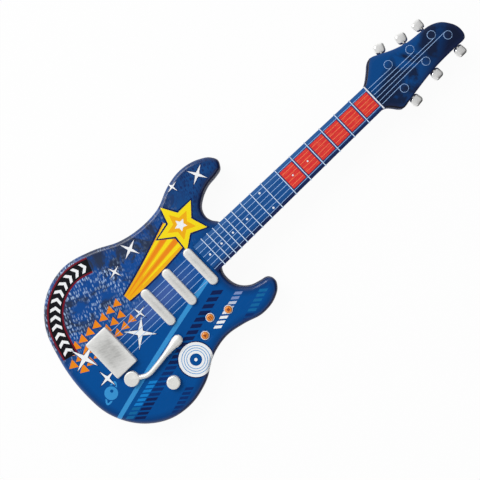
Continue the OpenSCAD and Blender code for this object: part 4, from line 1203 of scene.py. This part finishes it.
# %% [markdown]
# ## Lay the front film
# The film needs holes for the neck, the knobs and the buttons. Cutting them afterwards with a Boolean would
# leave ragged triangles, so the holes go into the same triangulation as the print. Their places come from
# the joints and the boxes of the CAD nodes.

# %% Lay the front film
EDGE_ROLL = 5.0
FRONT_GRID = 5.0
NECK_GAP, NECK_LAP, NECK_REACH = 0.3, 1.0, 180
WHAMMY_HOLE_R, KNOB_HOLE_R, HOLE_SIDES = 3.1, 3.6, 40
BUTTON_LAP = 0.4


def flat_box(node):
    """A node's box in millimetres."""
    low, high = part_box(node)
    return np.array(low) / MM, np.array(high) / MM


def joint_named(name):
    """A joint of the record."""
    return next(joint for joint in frame["joints"] if joint["name"] == name)


def joint_hole(name, r):
    """A round hole about a joint's axis."""
    x, y, _ = joint_named(name)["pos_m"]
    return disc(x / MM, y / MM, r, sides=HOLE_SIDES)


def button_hole(node):
    """A round hole about a button, a little smaller than the button's flange."""
    low, high = flat_box(node)
    return disc(*(low + high)[:2] / 2, (high - low)[1] / 2 - BUTTON_LAP)


def neck_hole():
    """The part of the front that the neck covers."""
    start, half = flat_box("neck_front")[0][0] - NECK_GAP, flat_box("frets")[1][1] - NECK_LAP
    return np.array([(start, -half), (NECK_REACH, -half), (NECK_REACH, half), (start, half)])


front_top = flat_box("body_front")[1][2]
holes = [neck_hole(), joint_hole("whammy_turn", WHAMMY_HOLE_R), joint_hole("volume_turn", KNOB_HOLE_R)]
holes += [button_hole("effect_button_%d" % i) for i in (1, 2, 3)]
front_inks = ["royal", *PLAIN_INKS]
front_film = film("front_print", front_rim, EDGE_ROLL, front_top, holes, art, front_inks, FRONT_GRID)
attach(front_film, "guitar")
print("front film:", len(front_film.data.polygons), "triangles")

# %% [markdown]
# ## Lay the headstock film
# The headstock has the same kind of film, in one ink that goes from royal blue to near black at the tip. It
# could run on under the nut, but there the fingerboard begins, so everything on that side of the nut is cut
# away.

# %% Lay the headstock film
HEAD_ROLL = 2.0
HEAD_GRID = 4.0
UNDER_NUT = np.array((-15.0, 0.0))
NUT_LAP = 0.3
CUT_HALF = 60

head_top, nut_end = flat_box("nut")[0][2], flat_box("nut")[1][0]
head_side = rim_loop("neck_front", (head_top - HEAD_ROLL) * MM)
head_ends = [head_side[-1] + UNDER_NUT, head_side[0] + UNDER_NUT]
head_rim = smooth_loop(np.concatenate((head_side, head_ends)), RIM_STEPS)
before_nut = np.array([(0, -CUT_HALF), (nut_end - NUT_LAP, -CUT_HALF), (nut_end - NUT_LAP, CUT_HALF),
                       (0, CUT_HALF)])
head_film = film("headstock_print", head_rim, HEAD_ROLL, head_top, [before_nut], [], ["head"], HEAD_GRID)
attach(head_film, "guitar")
print("headstock film:", len(head_film.data.polygons), "triangles")

# %% [markdown]
# ## Pillow shapes
# Pickups, bridge, fret buttons, dots and effect buttons are all one kind of form: an outline raised to a
# height, with a rolled edge and a slightly crowned top. A bevel modifier would roll the edge too, but it
# leaves one flat cap that shades badly. Stacking insets of the outline gives the roll, and shrinking rings
# give the crown, so rings of quads shade cleanly right to the middle.

# %% Pillow shapes
CROWN_RINGS = (0.92, 0.75, 0.5, 0.25)


def rounded_outline(corners, radius, steps=6):
    """A convex outline with its corners rounded, anticlockwise."""
    corners = np.array(corners, float)
    points = []
    for a, b, c in zip(np.roll(corners, 1, 0), corners, np.roll(corners, -1, 0)):
        u, v = (a - b) / np.linalg.norm(a - b), (c - b) / np.linalg.norm(c - b)
        half = math.acos(float(np.clip(u @ v, -1, 1))) / 2
        middle = b + (u + v) / np.linalg.norm(u + v) * radius / math.sin(half)
        start = math.atan2(*(b + u * radius / math.tan(half) - middle)[::-1])
        points += [middle + radius * np.array((math.cos(t), math.sin(t)))
                   for t in np.linspace(start, start + math.pi - 2 * half, steps)]
    return np.array(points)


def pillow_rows(outline, bottom, top, roll, crown, steps=5):
    """Rings of a pillow shape from its foot up to the middle of its crown."""
    rows = [(outline, bottom)]
    for k in range(steps + 1):
        a = math.pi / 2 * k / steps
        rows.append((inset(outline, roll * (1 - math.cos(a))), top - roll + roll * math.sin(a)))
    rim, centre = rows[-1][0], outline.mean(0)
    rows += [(centre + (rim - centre) * share, top + crown * (1 - share**2)) for share in CROWN_RINGS]
    return rows


print("a rounded square has", len(rounded_outline(bar(0, 0, 2, 2), 0.4)), "points")

# %% [markdown]
# ## Skins over rings
# A mesh is a list of points and a list of faces. Blender's own primitives could be edited into these forms,
# but rings of points are simpler: quads join each ring to the next, and a cap closes each end. Several
# skins can be joined into one piece, as the ribs of a button are.

# %% Skins over rings
def quads(pairs, count):
    """Faces between pairs of rings, each of count points."""
    return [(a * count + i, a * count + (i + 1) % count, b * count + (i + 1) % count, b * count + i)
            for a, b in pairs for i in range(count)]


def skin_rows(rows):
    """Points and faces of a closed skin over rings that all have the same count of points."""
    count, last = len(rows[0][0]), len(rows) - 1
    points = [(x, y, z) for ring, z in rows for x, y in ring]
    ends = [tuple(range(count))[::-1], tuple(last * count + i for i in range(count))]
    return points, quads([(r, r + 1) for r in range(last)], count) + ends


def pillow(*sizes, **more):
    """The skin of a pillow shape."""
    return skin_rows(pillow_rows(*sizes, **more))


def joined(skins):
    """Several skins as one list of points and one of faces."""
    points, faces = [], []
    for more, skin in skins:
        faces += [tuple(len(points) + n for n in face) for face in skin]
        points += more
    return points, faces


def piece_from(name, points, faces, material, gentle=40):
    """A smooth object from points in millimetres."""
    mesh = bpy.data.meshes.new(name)
    mesh.from_pydata([Vector(p) * MM for p in points], [], faces)
    smooth_mesh(mesh, gentle)
    piece = bpy.data.objects.new(name, mesh)
    dress(piece, material)
    link(piece)
    return piece


print("a pillow on a square has", len(pillow(bar(0, 0, 2, 2), 0.0, 1.0, 0.2, 0.0)[1]), "faces")

# %% [markdown]
# ## Pickups and bridge
# The pickups are low bars with round ends and the bridge is a plain block, all painted silver. They could
# be scaled cubes, but scaling would stretch their rolled edges. Their outlines come from the boxes of the
# CAD nodes instead, so they sit exactly where the solids are. Each keeps its points' distance from the rim
# for the painted sheen and shade of the silver.

# %% Pickups and bridge
PICKUPS = ("pickup_neck", "pickup_middle", "pickup_bridge")
PICKUP_ROLL, PICKUP_CROWN, END_FLAT = 1.8, 0.35, 0.05
BRIDGE_CORNER, BRIDGE_ROLL, BRIDGE_CROWN = 2.2, 1.3, 0.3
CORNER_STEPS = 12


def silver_block(node, corner, roll, crown):
    """A pillow in place of a node, with corners of that radius."""
    low, high = flat_box(node)
    outline = rounded_outline(bar(*(low + high)[:2] / 2, *(high - low)[:2]), corner, CORNER_STEPS)
    rows = pillow_rows(outline, front_top, high[2] - crown, roll, crown)
    piece = piece_from(node + "_bar", *skin_rows(rows), SHELL["silver_plastic"])
    store_rim(piece.data, distance_to(outline, np.concatenate([ring for ring, _ in rows])))
    stand_for(piece, node)


for node in PICKUPS:
    low, high = flat_box(node)
    silver_block(node, (high - low)[0] / 2 - END_FLAT, PICKUP_ROLL, PICKUP_CROWN)
silver_block("bridge", BRIDGE_CORNER, BRIDGE_ROLL, BRIDGE_CROWN)
print("silver bars:", PICKUPS + ("bridge",))

# %% [markdown]
# ## Fret buttons
# Each red button fills the room between two frets. Four moulded string lines cross it and catch an orange
# light, and two of the buttons carry a white dot. Lines in a bump map would vanish from the side, so they
# are half-round ribs that narrow together with the strings. Ribs and dots ride on their own button.

# %% Fret buttons
STRINGS, STRING_PITCH_BODY, STRING_PITCH_NUT = 6, 6.4, 4.95
KEY_ROLL, KEY_CORNER, KEY_SKIN, KEY_END = 0.7, 1.0, 1.0, 2.5
RIB_HALF, RIB_RISE, RIB_SINK, RIB_GAP, RIB_STEPS = 0.42, 0.3, 0.05, 0.6, 6
DOTTED = (5, 6)
DOT_SIDES, DOT_SINK, DOT_CROWN = 28, 0.1, 0.05
KEY_DOT_R, KEY_DOT_RISE, KEY_DOT_ROLL = 1.15, 0.35, 0.25
NUT_X, NECK_START = flat_box("nut")[0][0], flat_box("neck_front")[0][0]


def string_line(k, x):
    """The y of string k, from 0 on the bass side, at a place along the neck."""
    share = (x - NECK_START) / (NUT_X - NECK_START)
    pitch = STRING_PITCH_BODY + (STRING_PITCH_NUT - STRING_PITCH_BODY) * share
    return ((STRINGS - 1) / 2 - k) * pitch


def rib(x0, x1, k, z):
    """A half-round rib along string k."""
    turns = [math.pi * t / RIB_STEPS for t in range(RIB_STEPS + 1)]
    count = len(turns)
    points = [(x, string_line(k, x) - RIB_HALF * math.cos(a), z + RIB_RISE * math.sin(a))
              for x in (x0, x1) for a in turns]
    faces = [(i, i + 1, i + 1 + count, i + count) for i in range(RIB_STEPS)]
    faces.append((0, count, 2 * count - 1, count - 1))
    faces += [tuple(range(count))[::-1], tuple(range(count, 2 * count))]
    return points, [face[::-1] for face in faces]


def fret_button(i):
    """A cap, its ribs and its dot. The solid's lines and dot are its top levels; the face lies below."""
    node = "fret_button_%d" % i
    corners = np.array([v.co for v in NODES[node].data.vertices]) / MM
    levels = np.unique(corners[:, 2].round(2))
    top = levels[-3] if i in DOTTED else levels[-2]
    upper = corners[corners[:, 2] > top - KEY_SKIN]
    x0, x1 = upper[:, 0].min(), upper[:, 0].max()
    y0, y1 = (np.abs(upper[np.abs(upper[:, 0] - x) < KEY_END, 1]).max() for x in (x0, x1))
    outline = rounded_outline([(x0, -y0), (x1, -y1), (x1, y1), (x0, y0)], KEY_CORNER)
    cap = pillow(outline, corners[:, 2].min(), top, KEY_ROLL, 0.0)
    stand_for(piece_from(node + "_cap", *cap, SHELL["red_key"]), node)
    ribs = joined(rib(x0 + RIB_GAP, x1 - RIB_GAP, k, top - RIB_SINK) for k in range(1, STRINGS - 1))
    lines = piece_from(node + "_lines", *ribs, SHELL["key_line"])
    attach(lines, body_of(node))
    if i in DOTTED:
        dot = disc((x0 + x1) / 2, 0, KEY_DOT_R, sides=DOT_SIDES)
        skin = pillow(dot, top - DOT_SINK, top + KEY_DOT_RISE, KEY_DOT_ROLL, DOT_CROWN)
        mark = piece_from(node + "_dot", *skin, SHELL["white_trim"])
        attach(mark, body_of(node))
    return top


key_tops = [fret_button(i) for i in range(1, 7)]
print("fret buttons rise to %.2f mm" % max(key_tops))

# %% [markdown]
# ## Position dots
# Small white dots on the fingerboard tell players where they are. They could be painted on, but low studs
# show from the side too, so each is a pillow shape at the place that the CAD dot has. All of them are one
# piece, because they are one node.

# %% Position dots
DOT_R, DOT_RISE, DOT_ROLL = 1.4, 0.25, 0.2
DOT_APART = 5 * DOT_R

board_top = flat_box("position_dots")[0][2]
left = np.array([v.co[:2] for v in NODES["position_dots"].data.vertices]) / MM
dots = []
while len(left):
    near = np.linalg.norm(left - left[0], axis=1) < DOT_APART
    x, y = (left[near].min(0) + left[near].max(0)) / 2
    outline = disc(x, y, DOT_R, sides=DOT_SIDES)
    dots.append(pillow(outline, board_top - DOT_SINK, board_top + DOT_RISE, DOT_ROLL, DOT_CROWN))
    left = left[~near]
stand_for(piece_from("board_dots", *joined(dots), SHELL["white_trim"]), "position_dots")
print("position dots:", len(dots))

# %% [markdown]
# ## Tuner buttons
# A tuner is a shaft with a collar and a plated button. The button's outline is a soft square that is a
# little wider at its outer end, and a wide bevel runs round both faces. From above, the bevel mirrors the
# studio's horizon: bright on the left, dark on the right. A stretched ball would lose that bevel, so the
# button is built from insets of its outline, and the shaft is a lathe shape about the joint's own axis.

# %% Tuner buttons
PEG_LONG, PEG_WIDE, PEG_TAPER, PEG_CORNER, PEG_STEPS = 13.5, 15.5, 0.8, 4.4, 8
# Each step of the bevel is an inset and a height, and each ring of the crown a share and a height.
PEG_BEVEL = ((0.0, 0.8), (0.12, 1.2), (0.4, 1.5), (1.2, 2.1), (2.0, 2.62), (2.5, 2.82))
PEG_CROWN = ((0.75, 2.9), (0.5, 2.96), (0.25, 3.0))
# The shaft is given by radius and by place along the axis, from the foot or from the button's middle.
SHAFT_R, SHAFT_FOOT, SHAFT_SIDES = 2.0, 3.0, 28
SHAFT = ((2.0, -14), (3.0, -14), (3.5, -13.6), (3.5, -12.5), (3.0, -12), (2.0, -12), (2.0, -8), (2.9, -6.2),
         (2.9, -4))


def peg_rows(far):
    """Rings of a tuner button from lower to upper face, and its outline. far is its outer end."""
    outer, inner, start = PEG_WIDE / 2, PEG_WIDE / 2 * PEG_TAPER, far - PEG_LONG
    corners = [(start, -inner), (far, -outer), (far, outer), (start, inner)]
    outline = rounded_outline(corners, PEG_CORNER, PEG_STEPS)
    upper = [(inset(outline, step), z) for step, z in PEG_BEVEL]
    rim, centre = upper[-1][0], outline.mean(0)
    upper += [(centre + (rim - centre) * share, z) for share, z in PEG_CROWN]
    return [(ring, -z) for ring, z in upper[::-1]] + upper, outline


def tuner(i):
    """A button and its shaft in one piece, built along the axis of the tuner's joint."""
    node, joint = "tuner_peg_%d" % i, joint_named("tuner_turn_%d" % i)
    foot, axis, up = np.array(joint["pos_m"]) / MM, np.array(joint["axis"]), np.array((0, 0, 1))
    across = np.cross(up, axis)
    far = max((np.array(v.co) / MM - foot) @ axis for v in NODES[node].data.vertices)
    rows, outline = peg_rows(far)
    button, button_faces = skin_rows(rows)
    profile = [(SHAFT_R, SHAFT_FOOT)] + [(r, far - PEG_LONG / 2 + z) for r, z in SHAFT]
    shaft, shaft_faces = skin_rows([(disc(0, 0, r, sides=SHAFT_SIDES), z) for r, z in profile])
    points, faces = joined([
        ([foot + axis * x + across * y + up * z for x, y, z in button], button_faces),
        ([foot + axis * z + across * x + up * y for x, y, z in shaft], shaft_faces)])
    piece = piece_from(node + "_button", points, faces, SHELL["peg_silver"])
    depth = np.zeros(len(points))
    depth[:len(button)] = distance_to(outline, np.concatenate([ring for ring, _ in rows]))
    store_rim(piece.data, depth)
    stand_for(piece, node)
    return far


reach = [tuner(i) for i in range(1, 7)]
print("tuners reach %.1f mm from their feet" % max(reach))

# %% [markdown]
# ## Effect buttons
# The three orange buttons change the sound. Each is a shiny dome in a white rim, with a plain brown mark
# that players know from any music player: a triangle, two bars or a square. A printed mark would need a
# film of its own, so the mark is a thin raised shape that rides on the dome. The rims are turned rings and
# stay with the body.

# %% Effect buttons
DOME_ROLL, DOME_CROWN, DOME_SIDES, DOME_FROM = 0.9, 0.5, 40, 0.5
MARK_SINK, MARK_RISE = 0.4, 0.12
BEZEL = ((5.45, -0.5), (5.45, 1.0), (5.15, 1.45), (4.75, 1.5), (4.45, 1.2), (4.45, -0.5))
PAUSE_BAR = (1.2, 3.8)
MARKS = ([rounded_outline(star(0, 0, 2.7, 1.35, 3, 0)[::2], 0.4)],
         [rounded_outline(bar(x, 0, *PAUSE_BAR), 0.35) for x in (-1.1, 1.1)],
         [rounded_outline(bar(0, 0, 3.4, 3.4), 0.4)])


def ring_skin(x, y, profile):
    """Points and faces of a turned ring with a closed profile."""
    points = [(*spot, z) for r, z in profile for spot in disc(x, y, r, sides=DOME_SIDES)]
    return points, quads([(k, (k + 1) % len(profile)) for k in range(len(profile))], DOME_SIDES)


def effect_button(node, shapes):
    """A dome in place of a button, with its mark. Gives the skin of the rim round it."""
    low, high = flat_box(node)
    x, y = (low[:2] + high[:2]) / 2
    spots = np.array([v.co for v in NODES[node].data.vertices]) / MM
    across = spots[spots[:, 2] > front_top + DOME_FROM][:, 0]
    outline = disc(x, y, (across.max() - across.min()) / 2, sides=DOME_SIDES)
    dome = pillow(outline, low[2], high[2] - DOME_CROWN, DOME_ROLL, DOME_CROWN)
    stand_for(piece_from(node + "_dome", *dome, SHELL["orange_key"]), node)
    raised = joined(pillow(shape + (x, y), high[2] - MARK_SINK, high[2] + MARK_RISE, MARK_RISE, 0.0, steps=2)
                    for shape in shapes)
    mark = piece_from(node + "_mark", *raised, SHELL["mark_brown"])
    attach(mark, body_of(node))
    return ring_skin(x, y, [(r, front_top + z) for r, z in BEZEL])


rims = joined([effect_button("effect_button_%d" % i, shapes) for i, shapes in enumerate(MARKS, 1)])
stand_for(piece_from("effect_rims", *rims, SHELL["white_trim"]), "effect_bezels")
print("effect buttons:", len(MARKS))
